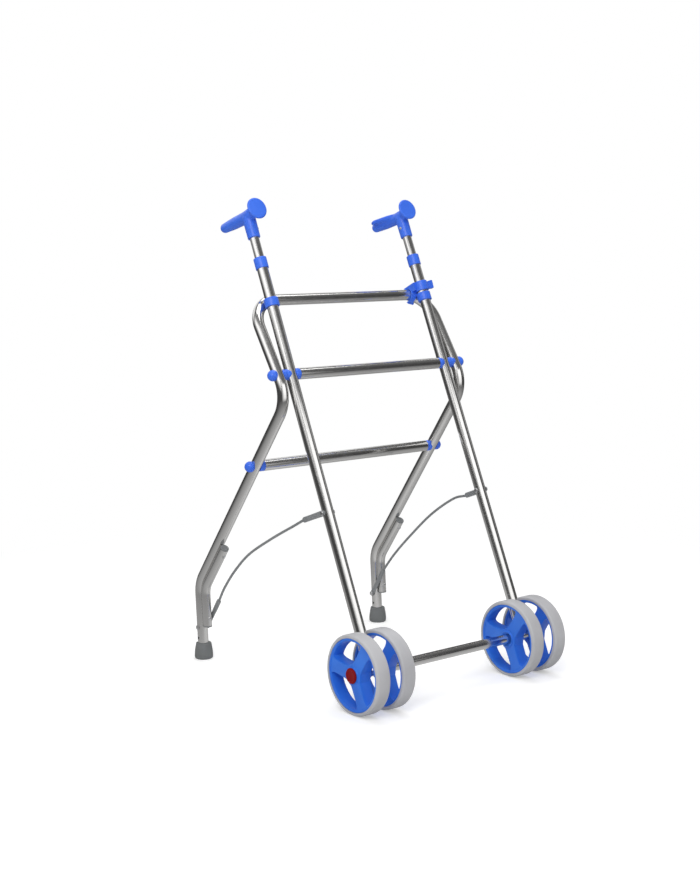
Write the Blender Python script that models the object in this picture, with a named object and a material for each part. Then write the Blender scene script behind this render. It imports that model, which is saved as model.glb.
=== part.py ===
"""Walking frame: a folding walker with two frames, four front wheels and two rubber feet.

The scene is in metres with +Z up. The wheels point to -Y, and the user stands at +Y and faces -Y.
Sizes below are in millimetres, measured with the axle at y = 0. Each finished piece gets an origin and a
parent in metres: an empty stands on the axis of every joint, and the pieces of a moving body hang from its
empty.
"""

import math

import bmesh
import bpy
from mathutils import Matrix, Vector

# Driving dimensions: clearances
GAP = 0.3
WORK_GAP = 0.5
ORIGIN_Y = 219.56

# Driving dimensions: tubes
TUBE_R = 11.0
TUBE_WALL = 1.5
HANDLE_R = 9.2
HANDLE_WALL = 1.2
STIFF_R = 9.0
STIFF_WALL = 1.5
AXLE_R = 9.5
AXLE_WALL = 1.5
BOLT_R = 3.0
RIVET_R = 2.5
CABLE_R = 2.5

# Driving dimensions: wheels
WHEEL_R = 75.0
TYRE_THICK = 7.0
TYRE_HALF = 15.0
RIM_R = WHEEL_R - TYRE_THICK
RIM_HALF = 14.0
RIM_WALL = 4.0
POCKET_WALL = 5.4
WEB_BACK = 12.0
WEB_FRONT = 12.5
BOSS_R = 16.0
BOSS_BACK = 18.4
BOSS_FRONT = 15.0
COUNTERBORE_R = 13.0
POCKET_LOW_R = 21.6
SPOKE_HALF = 12.4
SPOKE_FLARE_OUT = 4.0
SPOKE_FLARE_IN = 0.8
SPOKES = (55.0, 172.0, 294.0)
WHEEL_HALF_PITCH = 29.9
HUB_CAP_R = 14.5
HUB_CAP_THICK = 3.3
HUB_CAP_PLUG = 14.0

# Driving dimensions: front frame, with distances along the front tubes from the axle
LEAN = math.radians(24.0)
FRONT_X = 195.5
AXLE_Z = WHEEL_R
FRONT_TOP_S = 802.0
TOP_BAR_DOWN = 62.1
TOP_BAR_BACK = 25.8
TOP_BAR_S = FRONT_TOP_S - TOP_BAR_DOWN
PIVOT_DOWN = 161.9
PIVOT_S = TOP_BAR_S - PIVOT_DOWN
REST_DOWN = 15.6
REST_S = TOP_BAR_S - REST_DOWN
CLIP_RISE = 7.1
CLIP_S = TOP_BAR_S + CLIP_RISE
CABLE_S = 303.3

# Driving dimensions: handles and collars
HANDLE_BELOW = 150.0
HANDLE_ABOVE = 90.0
HANDLE_LOW_S = FRONT_TOP_S - HANDLE_BELOW
HANDLE_TOP_S = FRONT_TOP_S + HANDLE_ABOVE
GRIP_ABOVE = 17.4
GRIP_S = HANDLE_TOP_S + GRIP_ABOVE
SOCKET_LOW = -50.5
SOCKET_R = 13.0
DISC_R = 22.0
DISC_FORE = 24.0
DISC_IN = 3.5
DISC_THICK = 7.0
COLLAR_HALF = 11.0
COLLAR_WALL = 1.5
COLLAR_RISE = 3.7
COLLAR_S = FRONT_TOP_S + COLLAR_RISE
REST_HALF = 8.5
REST_WALL = 3.0

# Driving dimensions: clip
CLIP_HALF = 10.0
CLIP_WALL = 2.8
JAW_BORE = TUBE_R + 0.9
JAW_R = JAW_BORE + 3.7
JAW_X = (176.0, 188.0)
JAW_BACK = 4.6
BEAD_R = 3.0
BEAD_RISE = JAW_R - 1.4
TAB_OUT = 32.0
TAB_HIGH = 13.0
TAB_LOW = -5.0
TAB_HALF = 3.5

# Driving dimensions: rear frame, as (y, z) pairs
SIDE_X = 225.7
FOOT_X = 234.1
LOWER_BAR = (309.0, 421.2)
LEG_CORNER = (504.5, 156.4)
FOOT_Y = 494.7
LEG_LOW_Z = 9.0
CORNER_R = 60.0
KNEE_R = 61.0
LEG_R = 60.0
RIVET_Z = 65.0
SPARE_HOLE_Z = 43.0
STIFF_TOP_Z = 254.0
STIFF_LOW_Z = 70.0
STIFF_PLUG = 9.0
STIFF_HEAD = 2.4
FOOT_R = 19.0
FOOT_HIGH = 33.0

# Driving dimensions: bar ends
SADDLE_INSET = 6.5
SADDLE_PLUG = 22.0
WASHER_R = 10.4
CAP_R = 10.8
PIVOT_CAP_OUT = 12.2
LOWER_CAP_OUT = 13.0
BOLT_HEAD_R = 5.0
BOLT_HEAD = 4.0
BOLT_PLUG = 20.0

# Driving dimensions: safety cables, with each route as (y, z) pairs
SLEEVE_OUT = FRONT_X + TUBE_R + 1.8
SLEEVE_IN = FOOT_X - TUBE_R - 1.9
SLEEVE_PLATE = 1.5
SLEEVE_EYE_R = 5.8
SLEEVE_BARREL_R = 5.4
SLEEVE_BARREL_HALF = 4.0
SLEEVE_DEPTH = 12.0
FRONT_SLEEVE_END = (180.0, 331.4)
REAR_SLEEVE_END = (457.0, 125.4)
RIVET_HEAD_R = 4.6
RIVET_HEAD = 2.4
CABLE_PITCH = 11.0
CABLE_LEAD = 1.5
CABLE_ROUTE = {
    "left": ((222.0, 318.0), (294.0, 274.0), (372.0, 210.0), (421.0, 165.0)),
    "right": ((212.0, 315.0), (277.0, 282.0), (352.0, 239.0), (402.0, 196.0), (437.0, 156.0)),
}

UP = Vector((0.0, math.sin(LEAN), math.cos(LEAN)))
FORE = Vector((0.0, -math.cos(LEAN), math.sin(LEAN)))
X = Vector((1.0, 0.0, 0.0))
Y = Vector((0.0, 1.0, 0.0))
Z = Vector((0.0, 0.0, 1.0))
LEFT, RIGHT = 1, -1
SIDES = ((LEFT, "left"), (RIGHT, "right"))
REACH = 40.0

# Looks: colour, roughness and metallic value
LOOKS = {
    "bright_aluminium": ((0.78, 0.78, 0.78), 0.16, 1.0),
    "blue_plastic": ((0.06, 0.165, 0.82), 0.4, 0.0),
    "light_grey_tyre": ((0.48, 0.48, 0.5), 0.6, 0.0),
    "red_plastic": ((0.376, 0.003, 0.008), 0.35, 0.0),
    "grey_rubber": ((0.16, 0.17, 0.175), 0.7, 0.0),
    "grey_plastic": ((0.2, 0.21, 0.215), 0.5, 0.0),
    "zinc_steel": ((0.6, 0.6, 0.61), 0.3, 1.0),
}


def on_front(side, s, fore=0.0):
    """A point s along a front tube from the axle, fore of its axis. Side 0 is the middle of the frame."""
    return Vector((side * FRONT_X, 0.0, AXLE_Z)) + s * UP + fore * FORE


PIVOT = on_front(0, PIVOT_S)
TOP_BAR = on_front(0, TOP_BAR_S, fore=-TOP_BAR_BACK)


# Placing pieces
def to_metres():
    """From millimetres with the axle at y = 0 to the shared frame."""
    return Matrix.Scale(0.001, 4) @ Matrix.Translation((0.0, -ORIGIN_Y, 0.0))


def clear_scene():
    """Removes the startup objects."""
    for obj in list(bpy.data.objects):
        bpy.data.objects.remove(obj)


def make_looks():
    """One material for each look."""
    for name, (colour, roughness, metallic) in LOOKS.items():
        material = bpy.data.materials.new(name)
        material.use_nodes = True
        shader = material.node_tree.nodes["Principled BSDF"]
        shader.inputs["Base Color"].default_value = (*colour, 1.0)
        shader.inputs["Roughness"].default_value = roughness
        shader.inputs["Metallic"].default_value = metallic


def make_empty(body, point, rotation=(0.0, 0.0, 0.0), parent=None):
    """An empty on a body's joint axis."""
    empty = bpy.data.objects.new(f"{body}_axis", None)
    bpy.context.scene.collection.objects.link(empty)
    empty.empty_display_size = 0.03
    empty.parent = parent
    start = parent.location if parent else Vector()
    empty.location = to_metres() @ point - start
    empty.rotation_euler = rotation


def make_empties():
    """The front frame's empty on the axle, and one empty for each joint, with Z along slides and spins."""
    make_empty("front_frame", Vector((0.0, 0.0, AXLE_Z)))
    front = bpy.data.objects["front_frame_axis"]
    leaning = (-LEAN, 0.0, 0.0)
    across = (0.0, math.radians(90.0), 0.0)
    make_empty("rear_frame", PIVOT, across, front)
    for side, word in SIDES:
        make_empty(f"wheel_outer_{word}", wheel_centre(side, side), across, front)
        make_empty(f"wheel_inner_{word}", wheel_centre(side, -side), across, front)
        make_empty(f"handle_{word}", on_front(side, FRONT_TOP_S), leaning, front)
        make_empty(f"collar_{word}", on_front(side, COLLAR_S), leaning, front)
    make_empty("latch", on_front(LEFT, CLIP_S), leaning, front)
    bpy.context.view_layer.update()


def settle(obj, body, look, origin=None):
    """Gives a piece its parent, origin and look. Without an origin it sits on its joint's axis."""
    empty = bpy.data.objects[f"{body}_axis"]
    if origin is not None:
        obj.location = empty.matrix_world.inverted() @ (to_metres() @ origin)
    obj.parent = empty
    bpy.context.view_layer.update()
    obj.data.transform(obj.matrix_world.inverted() @ to_metres())
    obj.data.materials.append(bpy.data.materials[look])
    if obj.type == "MESH":
        obj.data.shade_smooth()
        obj.data.set_sharp_from_angle(angle=math.radians(35.0))
    return obj


# Mesh helpers
def new_object(name, points, faces):
    """A mesh object with its faces turned outwards."""
    mesh = bpy.data.meshes.new(name)
    mesh.from_pydata([tuple(p) for p in points], [], faces)
    obj = bpy.data.objects.new(name, mesh)
    bpy.context.scene.collection.objects.link(obj)
    work = bmesh.new()
    work.from_mesh(mesh)
    bmesh.ops.recalc_face_normals(work, faces=work.faces)
    work.to_mesh(mesh)
    work.free()
    return obj


def ring_points(centre, u, v, radius_u, radius_v, count):
    """Points of an ellipse round centre."""
    turns = [2.0 * math.pi * i / count for i in range(count)]
    return [centre + u * (radius_u * math.cos(a)) + v * (radius_v * math.sin(a)) for a in turns]


def strips(first, second, count):
    """Quads between two rings of the same point count."""
    return [(first + i, first + (i + 1) % count, second + (i + 1) % count, second + i) for i in range(count)]


def frames(path, start_u):
    """A pair of cross directions at each point of a path, carried along without twist."""
    pairs = []
    u = start_u
    for i in range(len(path)):
        before = path[max(i - 1, 0)]
        after = path[min(i + 1, len(path) - 1)]
        along = (after - before).normalized()
        u = (u - along * u.dot(along)).normalized()
        pairs.append((u, along.cross(u)))
    return pairs


def sweep(name, path, outer, inner=0.0, count=20):
    """A rod, or a tube open at both ends, along a path."""
    along = (path[1] - path[0]).normalized()
    pairs = frames(path, X if abs(along.x) < 0.9 else UP)
    points, faces = [], []
    for centre, (u, v) in zip(path, pairs):
        points += ring_points(centre, u, v, outer, outer, count)
    last = (len(path) - 1) * count
    for i in range(len(path) - 1):
        faces += strips(i * count, (i + 1) * count, count)
    if inner:
        base = len(points)
        for centre, (u, v) in zip(path, pairs):
            points += ring_points(centre, u, v, inner, inner, count)
        for i in range(len(path) - 1):
            faces += [quad[::-1] for quad in strips(base + i * count, base + (i + 1) * count, count)]
        faces += strips(base, 0, count)
        faces += strips(last, base + last, count)
    else:
        faces.append(tuple(range(count))[::-1])
        faces.append(tuple(range(last, last + count)))
    return new_object(name, points, faces)


def lathe(name, profile, origin, axis, count=32):
    """A solid of revolution from (radius, height) points, closed as a loop unless they meet the axis."""
    u = Z if abs(axis.z) < 0.9 else X
    u = (u - axis * u.dot(axis)).normalized()
    v = axis.cross(u)
    points, rows, faces = [], [], []
    for radius, height in profile:
        centre = origin + axis * height
        if radius < 1e-6:
            rows.append([len(points)] * count)
            points.append(centre)
        else:
            rows.append(list(range(len(points), len(points) + count)))
            points += ring_points(centre, u, v, radius, radius, count)
    pairs = list(zip(rows, rows[1:]))
    if profile[0][0] > 1e-6:
        pairs.append((rows[-1], rows[0]))
    for low, high in pairs:
        for i in range(count):
            j = (i + 1) % count
            face = tuple(dict.fromkeys([low[i], low[j], high[j], high[i]]))
            if len(face) > 2:
                faces.append(face)
    return new_object(name, points, faces)


def prism(name, outline, origin, axes, low, high):
    """An outline along the first two axes, extruded along the third."""
    u, v, w = axes
    count = len(outline)
    flat = [origin + u * a + v * b for a, b in outline]
    points = [p + w * low for p in flat] + [p + w * high for p in flat]
    faces = strips(0, count, count) + [tuple(range(count))[::-1], tuple(range(count, 2 * count))]
    return new_object(name, points, faces)


def block(low_u, high_u, low_v, high_v):
    """Outline of a rectangle."""
    return [(low_u, low_v), (high_u, low_v), (high_u, high_v), (low_u, high_v)]


def evaluated(obj):
    """Replaces an object's mesh with what its modifiers make of it."""
    graph = bpy.context.evaluated_depsgraph_get()
    mesh = bpy.data.meshes.new_from_object(obj.evaluated_get(graph))
    obj.modifiers.clear()
    old = obj.data
    obj.data = mesh
    bpy.data.meshes.remove(old)
    return obj


def combine(obj, others, operation):
    """Cuts the others from an object, or joins them to it, and removes them."""
    for other in others:
        modifier = obj.modifiers.new("combine", "BOOLEAN")
        modifier.operation = operation
        modifier.solver = "EXACT"
        modifier.object = other
        evaluated(obj)
        bpy.data.objects.remove(other)
    return obj


def cut(obj, *others):
    """Cuts the others from an object."""
    return combine(obj, others, "DIFFERENCE")


def join(obj, *others):
    """Joins the others to an object."""
    return combine(obj, others, "UNION")


def rod(middle, along, radius, count=16, low=-REACH, high=REACH):
    """A plain cylinder through a point, used for cuts and joins."""
    return sweep("rod", [middle + along * low, middle + along * high], radius, count=count)


def fillet(points, radii, step=math.radians(12.0)):
    """A polyline with each inner corner rounded to its radius."""
    path = [points[0]]
    for before, corner, after, radius in zip(points, points[1:], points[2:], radii):
        a = (before - corner).normalized()
        b = (after - corner).normalized()
        half = a.angle(b) / 2.0
        reach = radius / math.tan(half)
        centre = corner + (a + b).normalized() * (radius / math.sin(half))
        start = corner + a * reach - centre
        end = corner + b * reach - centre
        turn = start.angle(end)
        count = max(2, math.ceil(turn / step))
        side = (end - start * math.cos(turn)) / math.sin(turn)
        for i in range(count + 1):
            part = turn * i / count
            path.append(centre + start * math.cos(part) + side * math.sin(part))
    return path + [points[-1]]


def smooth_curve(stops, count):
    """A smooth curve through the stops, with count steps between each pair."""
    ends = [stops[0] * 2 - stops[1], *stops, stops[-1] * 2 - stops[-2]]
    path = []
    for a, b, c, d in zip(ends, ends[1:], ends[2:], ends[3:]):
        for i in range(count):
            t = i / count
            first = 2 * b + (c - a) * t
            second = (2 * a - 5 * b + 4 * c - d) * t * t
            path.append(0.5 * (first + second + (3 * b - a - 3 * c + d) * t**3))
    return path + [stops[-1]]


def evenly(path, pitch):
    """Points of a path at even steps of about pitch, with both ends kept."""
    lengths = [0.0]
    for a, b in zip(path, path[1:]):
        lengths.append(lengths[-1] + (b - a).length)
    count = round(lengths[-1] / pitch)
    points = [path[0]]
    index = 0
    for i in range(1, count):
        want = lengths[-1] * i / count
        while lengths[index + 1] < want:
            index += 1
        span = lengths[index + 1] - lengths[index]
        points.append(path[index].lerp(path[index + 1], (want - lengths[index]) / span))
    return points + [path[-1]]


# Lines of the rear frame
def line_meet(a, b, c, d):
    """Where the line a-b meets the line c-d, as (y, z) pairs."""
    ab = (b[0] - a[0], b[1] - a[1])
    cd = (d[0] - c[0], d[1] - c[1])
    t = ((c[0] - a[0]) * cd[1] - (c[1] - a[1]) * cd[0]) / (ab[0] * cd[1] - ab[1] * cd[0])
    return (a[0] + ab[0] * t, a[1] + ab[1] * t)


KNEE = line_meet((TOP_BAR.y, TOP_BAR.z), (PIVOT.y, PIVOT.z), LOWER_BAR, LEG_CORNER)
UPPER_DIR = (TOP_BAR - PIVOT).normalized()


def knee(side):
    """The knee's corner point."""
    return Vector((side * SIDE_X, *KNEE))


def leg_corner(side):
    """The lower bend's corner point."""
    return Vector((side * FOOT_X, *LEG_CORNER))


def foot_point(side, z):
    """A point of the lower leg's axis at height z."""
    along = (LEG_CORNER[1] - z) / LEG_CORNER[1]
    return Vector((side * FOOT_X, LEG_CORNER[0] + (FOOT_Y - LEG_CORNER[0]) * along, z))


def leg_point(side, z):
    """A point of the slanting leg's axis at height z."""
    top = knee(side)
    low = leg_corner(side)
    return top.lerp(low, (top.z - z) / (top.z - low.z))


def leg_dir(side):
    """Direction of the slanting leg, downwards."""
    return (leg_corner(side) - knee(side)).normalized()


# Tubes
def front_tube(side, word):
    """Front tube, coped on to the axle, with holes for its pivot bolt and cable rivet."""
    foot = on_front(side, 0.0)
    path = [foot - UP, on_front(side, FRONT_TOP_S)]
    tube = sweep(f"front_tube_{word}", path, TUBE_R, TUBE_R - TUBE_WALL, 20)
    cut(tube, rod(foot, X, AXLE_R + GAP + 0.1, 20))
    cut(tube, prism("below", block(-REACH, REACH, -REACH, GAP), foot, (X, UP, FORE), -REACH, REACH))
    cut(tube, rod(on_front(side, PIVOT_S), X, BOLT_R + GAP, 8))
    cut(tube, rod(on_front(side, CABLE_S), X, RIVET_R + GAP, 8))
    return settle(tube, "front_frame", "bright_aluminium", foot)


def rear_path():
    """Axis of the rear frame, from one foot over the top bar to the other."""
    corners = [foot_point(LEFT, LEG_LOW_Z), leg_corner(LEFT), knee(LEFT), TOP_BAR + X * SIDE_X]
    corners += [TOP_BAR - X * SIDE_X, knee(RIGHT), leg_corner(RIGHT), foot_point(RIGHT, LEG_LOW_Z)]
    return fillet(corners, [LEG_R, KNEE_R, CORNER_R, CORNER_R, KNEE_R, LEG_R], math.radians(15.0))


def rear_frame():
    """The rear frame: one bent tube with the top bar, both sides and both legs."""
    tube = sweep("rear_frame", rear_path(), TUBE_R, TUBE_R - TUBE_WALL, 16)
    for side, _ in SIDES:
        cut(tube, rod(PIVOT + X * side * SIDE_X, X, BOLT_R + GAP, 8))
        cut(tube, rod(leg_point(side, LOWER_BAR[1]), X, BOLT_R + GAP, 8))
        cut(tube, rod(foot_point(side, RIVET_Z), X, RIVET_R + GAP, 8))
        cut(tube, rod(foot_point(side, SPARE_HOLE_Z), X, RIVET_R, 8))
    return settle(tube, "rear_frame", "bright_aluminium")


def stiffener_path(side):
    """Axis of the short tube that runs in front of a leg, along its lower bend."""
    leg = leg_dir(side)
    low = (foot_point(side, 0.0) - leg_corner(side)).normalized()
    off = TUBE_R + STIFF_R + GAP
    top = leg_point(side, STIFF_TOP_Z) + Vector((0.0, leg.z, -leg.y)).normalized() * off
    end = foot_point(side, STIFF_LOW_Z) + Vector((0.0, low.z, -low.y)).normalized() * off
    above = top + leg
    below = end + low
    corner = line_meet((top.y, top.z), (above.y, above.z), (end.y, end.z), (below.y, below.z))
    return fillet([top, Vector((side * FOOT_X, *corner)), end], [LEG_R - off])


def stiffener(side, word):
    """Stiffener tube with a plug in each end."""
    path = stiffener_path(side)
    tube = sweep(f"stiffener_{word}", path, STIFF_R, STIFF_R - STIFF_WALL, 14)
    settle(tube, "rear_frame", "bright_aluminium", path[0])
    bore = STIFF_R - STIFF_WALL - GAP
    profile = [(0.0, -STIFF_PLUG), (bore, -STIFF_PLUG), (bore, GAP), (STIFF_R, GAP)]
    profile += [(STIFF_R, STIFF_HEAD - 0.8), (STIFF_R - 0.8, STIFF_HEAD), (0.0, STIFF_HEAD)]
    for end, beyond, place in ((path[0], path[1], "top"), (path[-1], path[-2], "bottom")):
        plug = lathe(f"stiffener_plug_{place}_{word}", profile, end, (end - beyond).normalized(), 12)
        settle(plug, "rear_frame", "grey_plastic", end)


# Bars and pivots
def bar(name, body, middle, half):
    """A cross bar, open at both ends."""
    tube = sweep(name, [middle - X * half, middle + X * half], TUBE_R, TUBE_R - TUBE_WALL, 24)
    return settle(tube, body, "bright_aluminium", middle)


def hollowed(piece, tube_point, tube_dir):
    """Hollows a piece to sit on the tube through a point."""
    return cut(piece, rod(tube_point, tube_dir, TUBE_R + GAP, 32))


def saddle(name, body, side, bar_end, tube_point, tube_dir):
    """The plug of a bar's end, hollowed to sit against the tube it is bolted to."""
    plug = TUBE_R - TUBE_WALL - GAP
    bore = BOLT_R + GAP
    stop = abs(tube_point.x) - TUBE_R / 2.0 - bar_end
    profile = [(bore, -SADDLE_PLUG), (plug, -SADDLE_PLUG), (plug, GAP), (TUBE_R, GAP)]
    profile += [(TUBE_R, stop), (bore, stop)]
    end = Vector((side * bar_end, tube_point.y, tube_point.z))
    piece = hollowed(lathe(name, profile, end, X * side, 16), tube_point, tube_dir)
    return settle(piece, body, "blue_plastic", end)


def washer(name, body, tube_point, tube_dir, aim, thick):
    """A half spacer: one side is hollowed to sit on its tube, and the other is flat."""
    bore = BOLT_R + GAP
    face = TUBE_R + thick
    inside = TUBE_R / 2.0
    profile = [(bore, inside), (WASHER_R, inside), (WASHER_R, face - 0.8), (WASHER_R - 0.8, face)]
    profile += [(bore, face)]
    piece = hollowed(lathe(name, profile, tube_point, aim, 16), tube_point, tube_dir)
    return settle(piece, body, "blue_plastic", tube_point)


def ball_cap(name, side, tube_point, tube_dir, out):
    """The domed cap over a bolt head, hollowed to sit on its tube."""
    turns = [math.radians(-30.0 + 20.0 * i) for i in range(6)]
    dome = [(CAP_R * math.cos(a), out + CAP_R * math.sin(a)) for a in turns]
    profile = [(0.0, dome[0][1]), *dome, (0.0, out + CAP_R)]
    cap = hollowed(lathe(name, profile, tube_point, X * side, 18), tube_point, tube_dir)
    head = TUBE_R + BOLT_HEAD + 1.0
    cut(cap, rod(tube_point, X * side, BOLT_HEAD_R + 0.6, 16, 4.0, head))
    return settle(cap, "rear_frame", "blue_plastic", tube_point)


def bolt(name, body, side, tube_point, inner_x):
    """A bolt from under its cap to the plug of the bar."""
    head = TUBE_R + WORK_GAP
    length = abs(tube_point.x) - inner_x
    profile = [(0.0, -length), (BOLT_R, -length), (BOLT_R, head), (BOLT_HEAD_R, head)]
    top = head + BOLT_HEAD
    profile += [(BOLT_HEAD_R, top - 1.4), (BOLT_HEAD_R - 1.2, top), (0.0, top)]
    return settle(lathe(name, profile, tube_point, X * side, 16), body, "zinc_steel", tube_point)


def pivots():
    """Middle bar and everything on the folding axis."""
    bar_end = FRONT_X - TUBE_R - SADDLE_INSET
    bar("middle_bar", "front_frame", PIVOT, bar_end)
    half = (SIDE_X - FRONT_X - 2.0 * TUBE_R - GAP) / 2.0
    for side, word in SIDES:
        front = on_front(side, PIVOT_S)
        rear = PIVOT + X * side * SIDE_X
        saddle(f"middle_saddle_{word}", "front_frame", side, bar_end, front, UP)
        washer(f"pivot_washer_front_{word}", "front_frame", front, UP, X * side, half)
        washer(f"pivot_washer_rear_{word}", "rear_frame", rear, UPPER_DIR, X * -side, half)
        ball_cap(f"pivot_cap_{word}", side, rear, UPPER_DIR, PIVOT_CAP_OUT)
        bolt(f"pivot_bolt_{word}", "front_frame", side, rear, bar_end - BOLT_PLUG)


def lower_joints():
    """Lower bar and the pieces that hold it between the legs."""
    bar_end = leg_point(LEFT, LOWER_BAR[1]).x - TUBE_R - SADDLE_INSET
    bar("lower_bar", "rear_frame", Vector((0.0, *LOWER_BAR)), bar_end)
    for side, word in SIDES:
        point = leg_point(side, LOWER_BAR[1])
        along = leg_dir(side)
        saddle(f"lower_saddle_{word}", "rear_frame", side, bar_end, point, along)
        ball_cap(f"lower_cap_{word}", side, point, along, LOWER_CAP_OUT)
        bolt(f"lower_bolt_{word}", "rear_frame", side, point, bar_end - BOLT_PLUG)


# Handles: stops hold the distances fore, up and inwards from the grip's middle, and a half thickness
GRIP_BAR = (
    (14.0, -3.0, 0.0, 11.0),
    (10.0, -3.5, 0.0, 12.0),
    (-10.0, -3.0, 0.0, 12.4),
    (-50.0, 3.0, 0.0, 11.8),
    (-82.0, 8.0, 0.0, 9.8),
)
GRIP_WING = ((-18.0, 2.0, 3.0, 8.0), (-34.0, 6.0, 7.0, 7.5), (-66.0, 13.0, 14.0, 5.0))
WING_LONG = 10.0
WING_WIDE = 8.5


def ball(centre, axes, sizes):
    """An ellipsoid of the grip's soft shape, with its half sizes along three axes."""
    rings = 8
    turns = [math.pi * i / rings for i in range(1, rings)]
    profile = [(0.0, -1.0), *((math.sin(a), -math.cos(a)) for a in turns), (0.0, 1.0)]
    obj = lathe("ball", profile, Vector(), Z, 14)
    turn = Matrix([[axes[c][r] * sizes[c] for c in range(3)] for r in range(3)]).to_4x4()
    obj.data.transform(Matrix.Translation(centre) @ turn)
    return obj


def chain(stops, pitch):
    """Stops with steps of about pitch between each pair."""
    out = []
    for a, b in zip(stops, stops[1:]):
        count = math.ceil(math.dist(a[:3], b[:3]) / pitch)
        out += [tuple(p + (q - p) * i / count for p, q in zip(a, b)) for i in range(count)]
    return out + [stops[-1]]


def grip(side, word):
    """Hand grip: socket, bar with a flat front disc, and a palm rest on the inner side."""
    base = on_front(side, GRIP_S)
    axes = (FORE, UP, X * -side)
    pieces = []
    for *place, radius in chain(GRIP_BAR, 7.0):
        centre = base + sum((axis * part for axis, part in zip(axes, place)), Vector())
        pieces.append(ball(centre, axes, (radius, radius, radius)))
    for *place, thick in chain(GRIP_WING, 4.5):
        centre = base + sum((axis * part for axis, part in zip(axes, place)), Vector())
        pieces.append(ball(centre, axes, (WING_LONG, thick, WING_WIDE)))
    disc = [(0.0, 0.0), (DISC_R - 3.0, 0.8), (DISC_R - 0.6, 2.2), (DISC_R, 4.0), (DISC_R - 0.4, 5.8)]
    disc += [(DISC_R - 2.0, DISC_THICK - 0.2), (0.0, DISC_THICK)]
    pieces.append(lathe("disc", disc, base + FORE * DISC_FORE - X * side * DISC_IN, FORE, 32))
    socket = [(0.0, SOCKET_LOW), (SOCKET_R - 1.4, SOCKET_LOW), (SOCKET_R - 0.6, SOCKET_LOW + 1.0)]
    socket += [(SOCKET_R, -6.0), (0.0, -6.0)]
    pieces.append(lathe("socket", socket, base, UP, 24))
    body = fused(f"handle_grip_{word}", pieces)
    low = base + UP * SOCKET_LOW
    cut(body, prism("below", block(-REACH, REACH, -REACH, GAP), low, (X, UP, FORE), -REACH, REACH))
    cut(body, rod(base, UP, HANDLE_R + GAP, 24, SOCKET_LOW - 9.0, 1.0 - GRIP_ABOVE))
    return settle(body, f"handle_{word}", "blue_plastic", base)


def fused(name, pieces):
    """Overlapping shapes made into one soft body."""
    work = bmesh.new()
    for piece in pieces:
        work.from_mesh(piece.data)
        bpy.data.objects.remove(piece)
    body = new_object(name, [], [])
    work.normal_update()
    bmesh.ops.recalc_face_normals(work, faces=work.faces)
    work.to_mesh(body.data)
    work.free()
    remesh = body.modifiers.new("fuse", "REMESH")
    remesh.mode = "VOXEL"
    remesh.voxel_size = 1.6
    smooth = body.modifiers.new("smooth", "SMOOTH")
    smooth.iterations = 4
    thin = body.modifiers.new("thin", "DECIMATE")
    thin.ratio = 0.045
    return evaluated(body)


def handle(side, word):
    """Sliding handle: its tube and its grip."""
    start = on_front(side, HANDLE_LOW_S)
    path = [start, on_front(side, HANDLE_TOP_S)]
    tube = sweep(f"handle_tube_{word}", path, HANDLE_R, HANDLE_R - HANDLE_WALL, 24)
    settle(tube, f"handle_{word}", "bright_aluminium", start)
    grip(side, word)


# Collars and clip
def collar(name, side, s, half, wall, chamfer):
    """A plain ring round a front tube."""
    bore = TUBE_R + GAP
    radius = bore + wall
    profile = [(bore, -half), (radius - chamfer, -half), (radius, chamfer - half)]
    profile += [(r, -h) for r, h in reversed(profile)]
    return lathe(name, profile, on_front(side, s), UP, 24)


def height_collar(side, word):
    """Twist collar on a front tube's top end, with a lip that closes on the handle tube."""
    bore = TUBE_R + GAP
    lip = HANDLE_R + GAP
    radius = bore + COLLAR_WALL
    top = WORK_GAP - COLLAR_RISE
    profile = [(bore, -COLLAR_HALF), (radius - 0.8, -COLLAR_HALF), (radius, 1.0 - COLLAR_HALF)]
    profile += [(radius, COLLAR_HALF - 1.0), (radius - 0.8, COLLAR_HALF), (lip, COLLAR_HALF)]
    profile += [(lip, top), (bore, top)]
    ring = lathe(f"height_collar_{word}", profile, on_front(side, COLLAR_S), UP, 20)
    return settle(ring, f"collar_{word}", "blue_plastic")


def bar_bend(side, low, high, fore=0.0, rise=0.0):
    """Axis of the top bar and one bend between two distances from the middle, moved fore and up."""
    start = SIDE_X - CORNER_R
    points = []
    for i in range(9):
        x = low + (high - low) * i / 8.0
        past = max(x - start, 0.0)
        drop = CORNER_R - math.sqrt(CORNER_R * CORNER_R - past * past)
        points.append(TOP_BAR + X * side * x - UPPER_DIR * drop + FORE * fore + UP * rise)
    return points


def rest_collars():
    """The rings that the top bar rests on."""
    for side, word in SIDES:
        ring = collar(f"rest_collar_{word}", side, REST_S, REST_HALF, REST_WALL, 1.0)
        middle = on_front(side, REST_S)
        near_bar = bar_bend(side, FRONT_X - REACH, FRONT_X + REACH / 2.0)
        cut(ring, sweep("bar", near_bar, TUBE_R + WORK_GAP, count=32))
        settle(ring, "front_frame", "blue_plastic", middle)


def jaw():
    """The clip's jaw over the top bar, open at the back, with a bead on each lip and a web to the ring."""
    low, high = JAW_X
    body = sweep("jaw", bar_bend(LEFT, low, high), JAW_R, count=32)
    behind = -JAW_BACK - 2.0
    web = [(behind, BEAD_RISE + BEAD_R - 0.9), (behind, 0.5), (TOP_BAR_BACK, 0.5)]
    web += [(TOP_BAR_BACK, CLIP_RISE + CLIP_HALF - 0.2)]
    join(body, prism("web", web, TOP_BAR, (FORE, UP, X), low + 1.0, high - 0.6))
    open_side = block(-REACH, -JAW_BACK, -REACH, REACH)
    back = prism("back", open_side, TOP_BAR, (FORE, UP, X), low - 5.0, high + 18.0)
    for rise in (BEAD_RISE, -BEAD_RISE):
        join(body, sweep("bead", bar_bend(LEFT, low, high, -JAW_BACK, rise), BEAD_R, count=10))
        cut(back, sweep("bead", bar_bend(LEFT, low - 9.0, high + 22.0, -JAW_BACK, rise), BEAD_R, count=10))
    return cut(body, back)


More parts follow.
